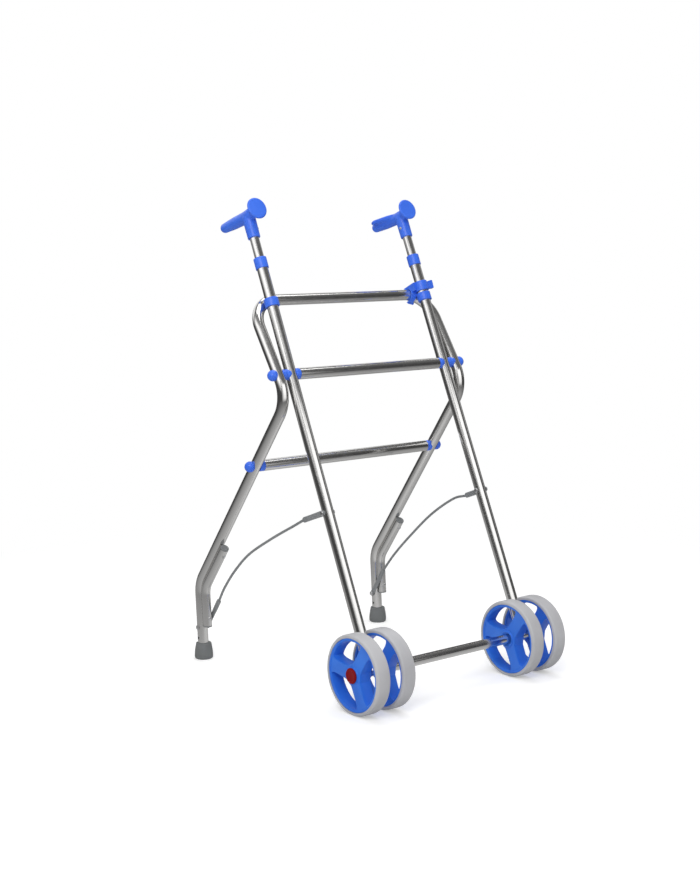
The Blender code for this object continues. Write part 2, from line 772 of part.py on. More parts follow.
def latch_clip():
    """Clip that turns on the left front tube: ring, jaw and thumb tab, clear of the bar's ways in and out."""
    middle = on_front(LEFT, CLIP_S)
    body = collar("latch_clip", LEFT, CLIP_S, CLIP_HALF, CLIP_WALL, 0.8)
    grab = jaw()
    for step in range(5):
        turn = Matrix.Rotation(math.radians(-2.0 * step), 4, "X")
        moved = [PIVOT + turn @ (p - PIVOT) for p in bar_bend(LEFT, JAW_X[0] - 10.0, JAW_X[1] + 12.0)]
        cut(grab, sweep("way", moved, JAW_BORE, count=32))
    for step in range(1, 9):
        turn = Matrix.Rotation(math.radians(-8.0 * step), 4, UP)
        moved = [middle + turn @ (p - middle) for p in bar_bend(LEFT, JAW_X[0] - 36.0, JAW_X[1] + 30.0)]
        cut(grab, sweep("way", moved, JAW_BORE - GAP, count=32))
    ring_r = TUBE_R + GAP + REST_WALL
    cut(grab, rod(on_front(LEFT, REST_S), UP, ring_r + 0.6, 28, -REACH, REST_HALF + 0.4))
    cut(grab, rod(middle, UP, TUBE_R + GAP, 24))
    inside = TUBE_R + GAP + 1.3
    outline = [(inside, TAB_LOW), (TAB_OUT - 1.0, TAB_LOW + 1.0), (TAB_OUT, TAB_HIGH - 0.5)]
    outline += [(TAB_OUT - 4.0, TAB_HIGH), (inside, CLIP_HALF - 1.0)]
    join(body, grab, prism("tab", outline, middle, (X, UP, FORE), -TAB_HALF, TAB_HALF))
    return settle(body, "latch", "blue_plastic")


# Feet and wheels
def foot(side, word):
    """Rubber foot with a flat sole, bored along the leg."""
    sole = foot_point(side, 0.0) + Y * GAP
    shape = ((0.88, 0.0), (0.98, 0.05), (1.0, 0.18), (0.97, 0.48), (0.885, 0.79), (0.8, 1.0))
    profile = [(0.0, 0.0), *((FOOT_R * r, FOOT_HIGH * h) for r, h in shape), (0.0, FOOT_HIGH)]
    body = lathe(f"foot_{word}", profile, sole, Z, 20)
    low = foot_point(side, LEG_LOW_Z - GAP)
    along = (leg_corner(side) - low).normalized()
    cut(body, rod(low, along, TUBE_R + GAP, 20, 0.0))
    return settle(body, "rear_frame", "grey_rubber", sole)


def wheel_centre(side, out):
    """Middle of a wheel. out points away from the front tube."""
    return Vector((side * FRONT_X + out * WHEEL_HALF_PITCH, 0.0, AXLE_Z))


def spoke_half(radius, high):
    """Half width of a spoke, which flares at both ends."""
    middle = (POCKET_LOW_R + high) / 2.0
    part = (radius - middle) / (high - middle)
    return SPOKE_HALF + (SPOKE_FLARE_OUT * part**4 if part > 0.0 else SPOKE_FLARE_IN * part**2)


def pocket(first, second):
    """Outline of the opening between two spokes, as (y, z) pairs."""
    high = RIM_R - POCKET_WALL
    span = (second - first) % 360.0
    radii = [high + (POCKET_LOW_R - high) * i / 6.0 for i in range(7)]
    side = [(r, math.degrees(math.asin(spoke_half(r, high) / r))) for r in radii]
    points = side + [(r, span - a) for r, a in reversed(side)]
    start, stop = points[-1][1], points[0][1]
    points += [(high, start + (stop - start) * i / 9.0) for i in range(1, 9)]
    return [(r * math.cos(math.radians(first + a)), r * math.sin(math.radians(first + a))) for r, a in points]


def wheel(side, word, place, out):
    """A wheel: hub with three broad spokes, and its tyre. out points away from the front tube."""
    centre = wheel_centre(side, out)
    axis = X * out
    bore = AXLE_R + 0.4
    rim = RIM_R - RIM_WALL
    profile = [(bore, -BOSS_BACK), (BOSS_R - 1.0, -BOSS_BACK), (BOSS_R, -WEB_BACK), (rim, -WEB_BACK)]
    profile += [(rim, -RIM_HALF), (RIM_R, -RIM_HALF), (RIM_R, RIM_HALF), (rim, RIM_HALF), (rim, WEB_FRONT)]
    profile += [(BOSS_R + 0.4, WEB_FRONT), (BOSS_R - 0.4, BOSS_FRONT), (COUNTERBORE_R, BOSS_FRONT)]
    profile += [(COUNTERBORE_R, WEB_BACK), (bore, WEB_BACK)]
    hub = lathe(f"wheel_hub_{place}_{word}", profile, centre, axis, 32)
    for first, second in zip(SPOKES, SPOKES[1:] + SPOKES[:1]):
        cut(hub, prism("pocket", pocket(first, second), centre, (-Y, Z, axis), -REACH / 2.0, REACH / 2.0))
    settle(hub, f"wheel_{place}_{word}", "blue_plastic")
    shoulder = ((TYRE_THICK - 3.6, 0.0), (TYRE_THICK - 1.2, 1.8), (TYRE_THICK, 5.2))
    profile = [(RIM_R + GAP, -TYRE_HALF), *((RIM_R + r, h - TYRE_HALF) for r, h in shoulder)]
    profile += [(r, -h) for r, h in reversed(profile)]
    tyre = lathe(f"tyre_{place}_{word}", profile, centre, axis, 40)
    settle(tyre, f"wheel_{place}_{word}", "light_grey_tyre")


def axle():
    """Axle tube through both front tubes' ends, and a red cap in each end."""
    half = FRONT_X + WHEEL_HALF_PITCH + BOSS_FRONT
    centre = Vector((0.0, 0.0, AXLE_Z))
    tube = sweep("axle_tube", [centre - X * half, centre + X * half], AXLE_R, AXLE_R - AXLE_WALL, 24)
    settle(tube, "front_frame", "bright_aluminium", centre)
    plug = AXLE_R - AXLE_WALL - GAP
    top = WORK_GAP + HUB_CAP_THICK
    profile = [(0.0, -HUB_CAP_PLUG), (plug, -HUB_CAP_PLUG), (plug, WORK_GAP), (HUB_CAP_R, WORK_GAP)]
    profile += [(HUB_CAP_R, top - 1.6), (HUB_CAP_R - 1.5, top - 0.4), (0.0, top)]
    for side, word in SIDES:
        end = centre + X * side * half
        cap = lathe(f"hub_cap_{word}", profile, end, X * side, 20)
        settle(cap, "front_frame", "red_plastic", end)


# Safety cables
def sleeve(name, body, start, end, flat):
    """Crimped sleeve: a flat eye at start and a barrel round the cable at end."""
    along = (end - start).normalized()
    across = flat.cross(along).normalized()
    length = (end - start).length
    eye, plate, barrel, thick = SLEEVE_EYE_R, SLEEVE_PLATE, SLEEVE_BARREL_R, SLEEVE_BARREL_HALF
    stops = (
        (-eye + 0.2, eye * 0.42, plate * 0.87),
        (-eye * 0.7, eye * 0.81, plate),
        (0.0, eye, plate),
        (eye + 0.8, eye, plate),
        (length * 0.45, barrel, plate + 0.3),
        (length * 0.7, barrel, thick - 0.4),
        (length - 1.4, barrel, thick),
        (length, barrel - 1.2, thick - 0.8),
    )
    count = 12
    points, faces = [], []
    for i, (height, half_wide, half_thick) in enumerate(stops):
        points += ring_points(start + along * height, across, flat, half_wide, half_thick, count)
        if i:
            faces += strips((i - 1) * count, i * count, count)
    faces.append(tuple(range(count))[::-1])
    faces.append(tuple(range(len(points) - count, len(points))))
    piece = new_object(name, points, faces)
    cut(piece, rod(start, flat, RIVET_R + GAP, 8, -9.0, 9.0))
    cut(piece, rod(end, along, CABLE_R + GAP, 10, -SLEEVE_DEPTH - WORK_GAP, 5.0))
    return settle(piece, body, "grey_plastic", start)


def rivet(name, body, start, out, outer):
    """A rivet through a tube and a sleeve's eye, with a head at each end."""
    inner = -TUBE_R - GAP
    end_r = RIVET_HEAD_R - 1.2
    low = inner - RIVET_HEAD
    high = outer + RIVET_HEAD
    profile = [(0.0, low), (end_r, low), (RIVET_HEAD_R, low + 1.0), (RIVET_HEAD_R, inner), (RIVET_R, inner)]
    profile += [(RIVET_R, outer), (RIVET_HEAD_R, outer), (RIVET_HEAD_R, high - 1.0)]
    profile += [(end_r, high), (0.0, high)]
    return settle(lathe(name, profile, start, out, 10), body, "zinc_steel", start)


def cable(word, points):
    """A safety cable: a round tube through its points."""
    curve = bpy.data.curves.new(f"cable_{word}", "CURVE")
    curve.dimensions = "3D"
    curve.bevel_depth = CABLE_R / 1000.0
    curve.bevel_resolution = 2
    curve.use_fill_caps = True
    spline = curve.splines.new("POLY")
    spline.points.add(len(points) - 1)
    for point, place in zip(spline.points, points):
        point.co = (*place, 1.0)
    obj = bpy.data.objects.new(f"cable_{word}", curve)
    bpy.context.scene.collection.objects.link(obj)
    settle(obj, "front_frame", "grey_plastic", points[0])
    # The move to metres scales the points' radii too, so these are set back.
    for point in spline.points:
        point.radius = 1.0
    return obj


def safety_cable(side, word):
    """One safety cable with its sleeves and rivets."""
    front = on_front(side, CABLE_S)
    rear = foot_point(side, RIVET_Z)
    flat = X * side
    front_eye = Vector((side * SLEEVE_OUT, front.y, front.z))
    rear_eye = Vector((side * SLEEVE_IN, rear.y, rear.z))
    front_end = Vector((side * (SLEEVE_OUT + 1.2), *FRONT_SLEEVE_END))
    rear_end = Vector((side * (SLEEVE_IN - 1.6), *REAR_SLEEVE_END))
    sleeve(f"cable_sleeve_front_{word}", "front_frame", front_eye, front_end, flat)
    sleeve(f"cable_sleeve_rear_{word}", "rear_frame", rear_eye, rear_end, flat)
    rivet(f"cable_rivet_front_{word}", "front_frame", front, flat, SLEEVE_OUT - FRONT_X + SLEEVE_PLATE + GAP)
    rivet(f"cable_rivet_rear_{word}", "rear_frame", rear, -flat, FOOT_X - SLEEVE_IN + SLEEVE_PLATE + GAP)
    along_front = (front_end - front_eye).normalized()
    along_rear = (rear_end - rear_eye).normalized()
    stops = [front_end + along_front * CABLE_LEAD]
    for y, z in CABLE_ROUTE[word]:
        part = (y - front_end.y) / (rear_end.y - front_end.y)
        stops.append(Vector((front_end.x + (rear_end.x - front_end.x) * part, y, z)))
    path = smooth_curve([*stops, rear_end + along_rear * CABLE_LEAD], 12)
    into_front = front_end - along_front * SLEEVE_DEPTH
    into_rear = rear_end - along_rear * SLEEVE_DEPTH
    cable(word, [into_front, *evenly(path, CABLE_PITCH), into_rear])


def main():
    """Builds the walking frame."""
    clear_scene()
    make_looks()
    make_empties()
    for side, word in SIDES:
        front_tube(side, word)
        handle(side, word)
        height_collar(side, word)
        stiffener(side, word)
        foot(side, word)
        wheel(side, word, "outer", side)
        wheel(side, word, "inner", -side)
        safety_cable(side, word)
    rest_collars()
    latch_clip()
    rear_frame()
    pivots()
    lower_joints()
    axle()


main()
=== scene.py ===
"""Folding walking frame, dressed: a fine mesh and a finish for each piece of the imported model.

The scene is in metres with +Z up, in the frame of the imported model: the wheels point to -Y, and the user
stands at +Y. Sizes in the sub-assemblies are millimetres, measured with the axle at y = 0, and dress() moves
each finished piece into the shared frame.
"""

from __future__ import annotations

import logging
import math
from collections.abc import Iterable, Sequence
from dataclasses import dataclass
from enum import Enum

import bmesh
import bpy
import numpy as np
from mathutils import Matrix, Vector


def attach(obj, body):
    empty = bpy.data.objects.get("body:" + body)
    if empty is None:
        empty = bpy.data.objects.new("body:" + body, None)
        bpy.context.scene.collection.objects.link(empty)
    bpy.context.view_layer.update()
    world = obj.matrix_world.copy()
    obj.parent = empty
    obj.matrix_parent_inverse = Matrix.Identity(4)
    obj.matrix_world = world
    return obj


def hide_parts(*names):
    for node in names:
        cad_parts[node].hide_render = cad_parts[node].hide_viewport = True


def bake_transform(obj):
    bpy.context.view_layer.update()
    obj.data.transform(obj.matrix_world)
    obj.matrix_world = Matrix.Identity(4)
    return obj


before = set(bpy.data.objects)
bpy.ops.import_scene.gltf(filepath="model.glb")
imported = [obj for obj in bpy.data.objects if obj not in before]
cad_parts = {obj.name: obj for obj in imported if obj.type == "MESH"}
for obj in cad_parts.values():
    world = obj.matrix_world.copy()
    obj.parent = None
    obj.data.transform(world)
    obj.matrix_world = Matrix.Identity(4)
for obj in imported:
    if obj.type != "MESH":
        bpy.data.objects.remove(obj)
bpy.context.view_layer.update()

LOG = logging.getLogger("walking_frame")
PHOTO_SIZE = (700, 869)
MM = 0.001
ON_AXIS = 1e-6
SAME_POINT = 1e-4
NEARLY_PARALLEL = 0.9
SLIGHT_BEND = math.radians(14.0)
EDGE_SHARE = 0.45
WHITE = (1.0, 1.0, 1.0, 1.0)

X = Vector((1.0, 0.0, 0.0))
Y = Vector((0.0, 1.0, 0.0))
Z = Vector((0.0, 0.0, 1.0))
Path = list[Vector]
Profile = Sequence[tuple[float, float]]
Stops = Sequence[tuple[float, ...]]
Face = tuple[int, ...]
Spot = tuple[Vector, Vector]
Colour = tuple[float, float, float]
Piece = bpy.types.Object
Material = bpy.types.Material
Node = bpy.types.Node
Socket = bpy.types.NodeSocket


class Side(Enum):
    """A side of the frame, as the user names it."""

    LEFT = 1
    RIGHT = -1

    @property
    def word(self) -> str:
        """The side's name in node names."""
        return self.name.lower()

    @property
    def out(self) -> Vector:
        """The direction away from the middle of the frame."""
        return X * self.value


class Berth(Enum):
    """A wheel's place on its side of the axle."""

    OUTER = "outer"
    INNER = "inner"


class Combine(Enum):
    """A way to combine two solids."""

    CUT = "DIFFERENCE"
    JOIN = "UNION"


class Finish(Enum):
    """A finish, named after the material slot that it belongs to."""

    ALUMINIUM = "bright_aluminium"
    BLUE = "blue_plastic"
    # The hubs' copy of the blue plastic: a greener tint, with its red and blue turned down as painted shade.
    HUB = "blue_plastic_hub"
    TYRE = "light_grey_tyre"
    RED = "red_plastic"
    RUBBER = "grey_rubber"
    GREY = "grey_plastic"
    STEEL = "zinc_steel"

    @property
    def slot(self) -> str:
        """The material slot of the finish."""
        return self.value.removesuffix("_hub")


@dataclass(frozen=True)
class Layout:
    """Sizes and places that several sub-assemblies share."""

    origin_y: float = 219.56
    gap: float = 0.3
    tube_r: float = 11.0
    tube_wall: float = 1.5
    handle_r: float = 9.2
    stiff_r: float = 9.0
    axle_r: float = 9.5
    axle_wall: float = 1.5
    lean: float = math.radians(24.0)
    front_x: float = 195.5
    axle_z: float = 75.0
    front_top_s: float = 802.0
    pivot_s: float = 578.0
    cable_s: float = 303.3
    top_bar_s: float = 739.9
    top_bar_back: float = 25.8
    side_x: float = 225.7
    foot_x: float = 234.1
    lower_bar: tuple[float, float] = (309.0, 421.2)
    leg_bend: tuple[float, float] = (504.5, 156.4)
    foot_y: float = 494.7
    cable_z: float = 65.0
    corner_r: float = 60.0
    knee_r: float = 61.0
    leg_r: float = 60.0
    bolt_r: float = 3.0
    rivet_r: float = 2.5
    straight_pitch: float = 20.0

    @property
    def bore(self) -> float:
        """Inner radius of the frame's tubes."""
        return self.tube_r - self.tube_wall

    @property
    def seat(self) -> float:
        """Radius of a hollow that sits on a frame tube."""
        return self.tube_r + self.gap

    @property
    def up(self) -> Vector:
        """Direction along the front tubes, upwards."""
        return Vector((0.0, math.sin(self.lean), math.cos(self.lean)))

    @property
    def fore(self) -> Vector:
        """Direction square to the front tubes, forwards."""
        return Vector((0.0, -math.cos(self.lean), math.sin(self.lean)))

    @property
    def axle(self) -> Vector:
        """Middle of the axle."""
        return Vector((0.0, 0.0, self.axle_z))

    @property
    def pivot(self) -> Vector:
        """Middle of the folding axis."""
        return self.axle + self.up * self.pivot_s

    @property
    def top_bar(self) -> Vector:
        """Middle of the top bar."""
        return self.axle + self.up * self.top_bar_s - self.fore * self.top_bar_back

    @property
    def upper_dir(self) -> Vector:
        """Direction of the rear frame's sides, from the pivots to the top bar."""
        return (self.top_bar - self.pivot).normalized()

    @property
    def knee(self) -> Vector:
        """Corner point of the knees, at x = 0."""
        y, z = line_meet(self.top_bar.yz, self.pivot.yz, self.lower_bar, self.leg_bend)
        return Vector((0.0, y, z))

    def on_front(self, side: Side, s: float, fore: float = 0.0, out: float = 0.0) -> Vector:
        """A point of a front tube, s from the axle, moved forwards or to its own side."""
        base = Vector((side.value * (self.front_x + out), 0.0, self.axle_z))
        return base + self.up * s + self.fore * fore

    def knee_at(self, side: Side) -> Vector:
        """Corner point of one knee."""
        return self.knee + side.out * self.side_x

    def bend_at(self, side: Side) -> Vector:
        """Corner point of one leg's lower bend."""
        return Vector((side.value * self.foot_x, *self.leg_bend))

    def foot_at(self, side: Side, z: float) -> Vector:
        """A point of the lower leg's axis.

        Args:
            side: which leg.
            z: height of the point.

        Returns:
            The point.
        """
        part = (self.leg_bend[1] - z) / self.leg_bend[1]
        y = self.leg_bend[0] + (self.foot_y - self.leg_bend[0]) * part
        return Vector((side.value * self.foot_x, y, z))

    def leg_at(self, side: Side, z: float) -> Vector:
        """A point of the slanting leg's axis at height z."""
        top, low = self.knee_at(side), self.bend_at(side)
        return top.lerp(low, (top.z - z) / (top.z - low.z))

    def leg_dir(self, side: Side) -> Vector:
        """Direction of the slanting leg, downwards."""
        return (self.bend_at(side) - self.knee_at(side)).normalized()

    def bar_bend(
        self, side: Side, low: float, high: float, fore: float = 0.0, rise: float = 0.0, count: int = 24
    ) -> Path:
        """The top bar's axis between two distances from the middle.

        Args:
            side: which end of the bar.
            low: distance of the first point from the middle.
            high: distance of the last point.
            fore: how far the axis is moved forwards.
            rise: how far it is moved along the front tube.
            count: steps along the path.

        Returns:
            The path.
        """
        start = self.side_x - self.corner_r
        points = []
        for i in range(count + 1):
            x = low + (high - low) * i / count
            past = max(x - start, 0.0)
            drop = self.corner_r - math.sqrt(self.corner_r**2 - past**2)
            place = self.top_bar + side.out * x - self.upper_dir * drop
            points.append(place + self.fore * fore + self.up * rise)
        return points

    def to_row(self) -> Matrix:
        """From millimetres with the axle at y = 0 to the shared frame."""
        return Matrix.Scale(MM, 4) @ Matrix.Translation((0.0, -self.origin_y, 0.0))


def line_meet(
    a: Sequence[float], b: Sequence[float], c: Sequence[float], d: Sequence[float]
) -> tuple[float, float]:
    """Where two lines in a plane meet.

    Args:
        a: a point of the first line.
        b: another point of the first line.
        c: a point of the second line.
        d: another point of the second line.

    Returns:
        The meeting point.
    """
    ab = (b[0] - a[0], b[1] - a[1])
    cd = (d[0] - c[0], d[1] - c[1])
    t = ((c[0] - a[0]) * cd[1] - (c[1] - a[1]) * cd[0]) / (ab[0] * cd[1] - ab[1] * cd[0])
    return (a[0] + ab[0] * t, a[1] + ab[1] * t)


PLAN = Layout()


# Paths
def fillet(points: Sequence[Vector], radii: Sequence[float], step: float = 3.0) -> Path:
    """A polyline with its inner corners rounded.

    Args:
        points: the corners.
        radii: one radius for each inner corner.
        step: largest turn between two points of a bend, in degrees.

    Returns:
        The rounded path.
    """
    path = [points[0]]
    for before, corner, after, radius in zip(points, points[1:], points[2:], radii):
        a = (before - corner).normalized()
        b = (after - corner).normalized()
        half = a.angle(b) / 2.0
        reach = radius / math.tan(half)
        centre = corner + (a + b).normalized() * (radius / math.sin(half))
        start = corner + a * reach - centre
        end = corner + b * reach - centre
        turn = start.angle(end)
        count = max(2, math.ceil(math.degrees(turn) / step))
        side = (end - start * math.cos(turn)) / math.sin(turn)
        for i in range(count + 1):
            part = turn * i / count
            path.append(centre + start * math.cos(part) + side * math.sin(part))
    return path + [points[-1]]


def smooth_curve(stops: Sequence[Vector], count: int) -> Path:
    """A smooth curve through points.

    Args:
        stops: the points.
        count: steps between each pair of them.

    Returns:
        The curve's points.
    """
    ends = [stops[0] * 2 - stops[1], *stops, stops[-1] * 2 - stops[-2]]
    path = []
    for a, b, c, d in zip(ends, ends[1:], ends[2:], ends[3:]):
        for i in range(count):
            t = i / count
            first = 2 * b + (c - a) * t
            second = (2 * a - 5 * b + 4 * c - d) * t * t
            path.append(0.5 * (first + second + (3 * b - a - 3 * c + d) * t**3))
    return path + [stops[-1]]


def divided(start: Vector, end: Vector, pitch: float) -> Path:
    """Points of a straight line, at most pitch apart."""
    count = max(1, math.ceil((end - start).length / pitch))
    return [start.lerp(end, i / count) for i in range(count + 1)]


def cross_frames(path: Path) -> list[tuple[Vector, Vector]]:
    """Cross directions along a path, carried along without twist.

    Args:
        path: the path.

    Returns:
        Two directions square to the path, for each of its points.
    """
    first = (path[1] - path[0]).normalized()
    u = X if abs(first.x) < NEARLY_PARALLEL else PLAN.up
    pairs = []
    for i in range(len(path)):
        along = (path[min(i + 1, len(path) - 1)] - path[max(i - 1, 0)]).normalized()
        u = (u - along * u.dot(along)).normalized()
        pairs.append((u, along.cross(u)))
    return pairs


# Meshes
def linked(name: str, data: bpy.types.ID) -> Piece:
    """A new object in the scene.

    Args:
        name: the object's name.
        data: its mesh, curve, light or camera.

    Returns:
        The object.
    """
    obj = bpy.data.objects.new(name, data)
    bpy.context.scene.collection.objects.link(obj)
    return obj


def outward(mesh: bpy.types.Mesh, merge: float = 0.0) -> None:
    """Turns a mesh's faces outwards.

    Args:
        mesh: the mesh.
        merge: distance up to which points are merged first, or 0 to keep them all.
    """
    work = bmesh.new()
    work.from_mesh(mesh)
    if merge:
        bmesh.ops.remove_doubles(work, verts=work.verts, dist=merge)
    bmesh.ops.recalc_face_normals(work, faces=work.faces)
    work.to_mesh(mesh)
    work.free()


def new_object(name: str, points: Iterable[Vector], faces: Iterable[Sequence[int]]) -> Piece:
    """A mesh object with its faces turned outwards.

    Args:
        name: the object's name.
        points: vertices, in millimetres.
        faces: vertex numbers of each face.

    Returns:
        The object.
    """
    mesh = bpy.data.meshes.new(name)
    mesh.from_pydata([tuple(p) for p in points], [], [tuple(f) for f in faces])
    outward(mesh)
    return linked(name, mesh)


def ring(centre: Vector, u: Vector, v: Vector, radius_u: float, radius_v: float, count: int) -> Path:
    """Points of an ellipse round centre."""
    turns = [2.0 * math.pi * i / count for i in range(count)]
    return [centre + u * (radius_u * math.cos(a)) + v * (radius_v * math.sin(a)) for a in turns]


def strips(first: int, second: int, count: int) -> list[Face]:
    """Quads between two rings of the same point count."""
    return [(first + i, first + (i + 1) % count, second + (i + 1) % count, second + i) for i in range(count)]


def lofted(name: str, rings: Sequence[Path]) -> Piece:
    """A closed solid through rings of the same point count.

    Args:
        name: the object's name.
        rings: the points of each ring.

    Returns:
        The object.
    """
    count = len(rings[0])
    points = [point for row in rings for point in row]
    faces = [face for i in range(len(rings) - 1) for face in strips(i * count, (i + 1) * count, count)]
    faces += [tuple(range(count))[::-1], tuple(range(len(points) - count, len(points)))]
    return new_object(name, points, faces)


def swept(name: str, path: Path, outer: float, inner: float = 0.0, count: int = 48) -> Piece:
    """A rod, or a tube with a wall, along a path.

    Args:
        name: the object's name.
        path: its axis.
        outer: outer radius.
        inner: radius of the bore, or 0 for a rod.
        count: points round the tube.

    Returns:
        The object.
    """
    places = list(zip(path, cross_frames(path)))
    outside = [ring(centre, u, v, outer, outer, count) for centre, (u, v) in places]
    if not inner:
        return lofted(name, outside)
    inside = [ring(centre, u, v, inner, inner, count) for centre, (u, v) in places]
    base, last = len(path) * count, (len(path) - 1) * count
    faces: list[Face] = []
    for low in range(0, last, count):
        faces += strips(low, low + count, count)
    for low in range(base, base + last, count):
        faces += [quad[::-1] for quad in strips(low, low + count, count)]
    faces += strips(base, 0, count) + strips(last, base + last, count)
    return new_object(name, [point for row in outside + inside for point in row], faces)


def eased(profile: Profile, radius: float = 0.5, steps: int = 3) -> Profile:
    """A turned profile with its sharp corners rounded.

    Args:
        profile: (radius, height) points, a closed loop unless it starts and ends on the axis.
        radius: radius of the rounding.
        steps: points of each rounding.

    Returns:
        The rounded profile.
    """
    on_axis = profile[0][0] < ON_AXIS
    count = len(profile)
    out: list[tuple[float, float]] = []
    for i, here in enumerate(profile):
        if on_axis and i in (0, count - 1):
            out.append(here)
            continue
        corner = Vector(here)
        a = Vector(profile[i - 1]) - corner
        b = Vector(profile[(i + 1) % count]) - corner
        bend = math.pi - a.angle(b)
        if bend < SLIGHT_BEND:
            out.append(here)
            continue
        reach = min(radius * math.tan(bend / 2.0), a.length * EDGE_SHARE, b.length * EDGE_SHARE)
        start = corner + a.normalized() * reach
        end = corner + b.normalized() * reach
        for k in range(steps + 1):
            t = k / steps
            point = start * (1 - t) ** 2 + corner * (2 * t * (1 - t)) + end * t**2
            out.append((point.x, point.y))
    return out


def turned(name: str, profile: Profile, origin: Vector, axis: Vector, count: int = 64) -> Piece:
    """A solid of revolution.

    Args:
        name: the object's name.
        profile: (radius, height) points, closed as a loop unless it meets the axis.
        origin: height 0 on the axis.
        axis: direction of the axis.
        count: points round the axis.

    Returns:
        The object.
    """
    axis = axis.normalized()
    u = Z if abs(axis.z) < NEARLY_PARALLEL else X
    u = (u - axis * u.dot(axis)).normalized()
    v = axis.cross(u)
    points: Path = []
    rows: list[list[int]] = []
    faces: list[Face] = []
    for radius, height in profile:
        centre = origin + axis * height
        if radius < ON_AXIS:
            rows.append([len(points)] * count)
            points.append(centre)
        else:
            rows.append(list(range(len(points), len(points) + count)))
            points += ring(centre, u, v, radius, radius, count)
    pairs = list(zip(rows, rows[1:]))
    if profile[0][0] > ON_AXIS:
        pairs.append((rows[-1], rows[0]))
    for low, high in pairs:
        for i in range(count):
            j = (i + 1) % count
            face = tuple(dict.fromkeys([low[i], low[j], high[j], high[i]]))
            if len(face) > 2:
                faces.append(face)
    return new_object(name, points, faces)


def prism(
    name: str, outline: Profile, origin: Vector, axes: Sequence[Vector], low: float, high: float
) -> Piece:
    """An outline extruded along the third of three axes.

    Args:
        name: the object's name.
        outline: points along the first two axes.
        origin: where the axes start.
        axes: three directions.
        low: where the extrusion starts.
        high: where it ends.

    Returns:
        The object.
    """
    u, v, w = axes
    flat = [origin + u * a + v * b for a, b in outline]
    return lofted(name, [[p + w * far for p in flat] for far in (low, high)])


def below(origin: Vector, half: float, deep: float, high: float) -> Piece:
    """A block, square to the front tubes, that cuts off what lies below a point."""
    outline = [(-half, -deep), (half, -deep), (half, high), (-half, high)]
    return prism("below", outline, origin, (X, PLAN.up, PLAN.fore), -half, half)


def rod(start: Vector, end: Vector, radius: float, count: int = 48) -> Piece:
    """A plain cylinder, used up by cuts and joins."""
    return swept("rod", [start, end], radius, count=count)


def drill(middle: Vector, half: float, radius: float, count: int = 24) -> Piece:
    """A rod along x, centred on a point, that cuts a hole."""
    return rod(middle + X * half, middle - X * half, radius, count)


def applied(obj: Piece) -> Piece:
    """Replaces an object's mesh with what its modifiers make of it.

    Args:
        obj: the object.

    Returns:
        The same object, without modifiers.
    """
    graph = bpy.context.evaluated_depsgraph_get()
    mesh = bpy.data.meshes.new_from_object(obj.evaluated_get(graph))
    obj.modifiers.clear()
    old = obj.data
    obj.data = mesh
    bpy.data.meshes.remove(old)
    return obj


def combined(obj: Piece, way: Combine, others: Sequence[Piece]) -> Piece:
    """Cuts or joins other objects, and removes them.

    Args:
        obj: the object that is kept.
        way: whether the others are cut off or joined on.
        others: the objects that are used up.

    Returns:
        The kept object.
    """
    for other in others:
        modifier = obj.modifiers.new("combine", "BOOLEAN")
        modifier.operation = way.value
        modifier.solver = "EXACT"
        modifier.object = other
        applied(obj)
        bpy.data.objects.remove(other)
    return obj


def cut(obj: Piece, *others: Piece) -> Piece:
    """Cuts the others from an object."""
    return combined(obj, Combine.CUT, others)


def join(obj: Piece, *others: Piece) -> Piece:
    """Joins the others to an object."""
    return combined(obj, Combine.JOIN, others)


def broken_edges(obj: Piece, width: float, limit: float = 40.0) -> Piece:
    """Breaks the sharp edges that cuts leave.

    Args:
        obj: the object.
        width: width of the broken edge.
        limit: smallest angle of an edge that is broken, in degrees.

    Returns:
        The object.
    """
    bevel = obj.modifiers.new("edges", "BEVEL")
    bevel.width = width
    bevel.segments = 2
    bevel.limit_method = "ANGLE"
    bevel.angle_limit = math.radians(limit)
    bevel.harden_normals = False
    return applied(obj)


def lay(obj: Piece, path: Path) -> Piece:
    """Stores where each vertex lies on its tube, so that drawn lines follow it.

    Args:
        obj: a tube, in millimetres.
        path: the tube's axis.

    Returns:
        The object, with a vector attribute: two cross distances and the distance along, in metres.
    """
    axis = np.array([tuple(p) for p in path])
    steps = np.linalg.norm(np.diff(axis, axis=0), axis=1)
    lengths = np.concatenate([[0.0], np.cumsum(steps)])
    pairs = cross_frames(path)
    points = np.empty(len(obj.data.vertices) * 3)
    obj.data.vertices.foreach_get("co", points)
    points = points.reshape(-1, 3)
    best = np.full(len(points), np.inf)
    stored = np.zeros((len(points), 3), np.float32)
    for i, span in enumerate(steps):
        along = (axis[i + 1] - axis[i]) / span
        offset = points - axis[i]
        reach = np.clip(offset @ along, 0.0, span)
        side = offset - np.outer(reach, along)
        far = np.linalg.norm(side, axis=1)
        near = far < best
        best[near] = far[near]
        u, v = (np.array(tuple(c)) for c in pairs[i])
        for column, distance in enumerate((side @ u, side @ v, lengths[i] + reach)):
            stored[near, column] = distance[near] * MM
    layer = obj.data.attributes.new("lay", "FLOAT_VECTOR", "POINT")
    layer.data.foreach_set("vector", stored.reshape(-1))
    return obj


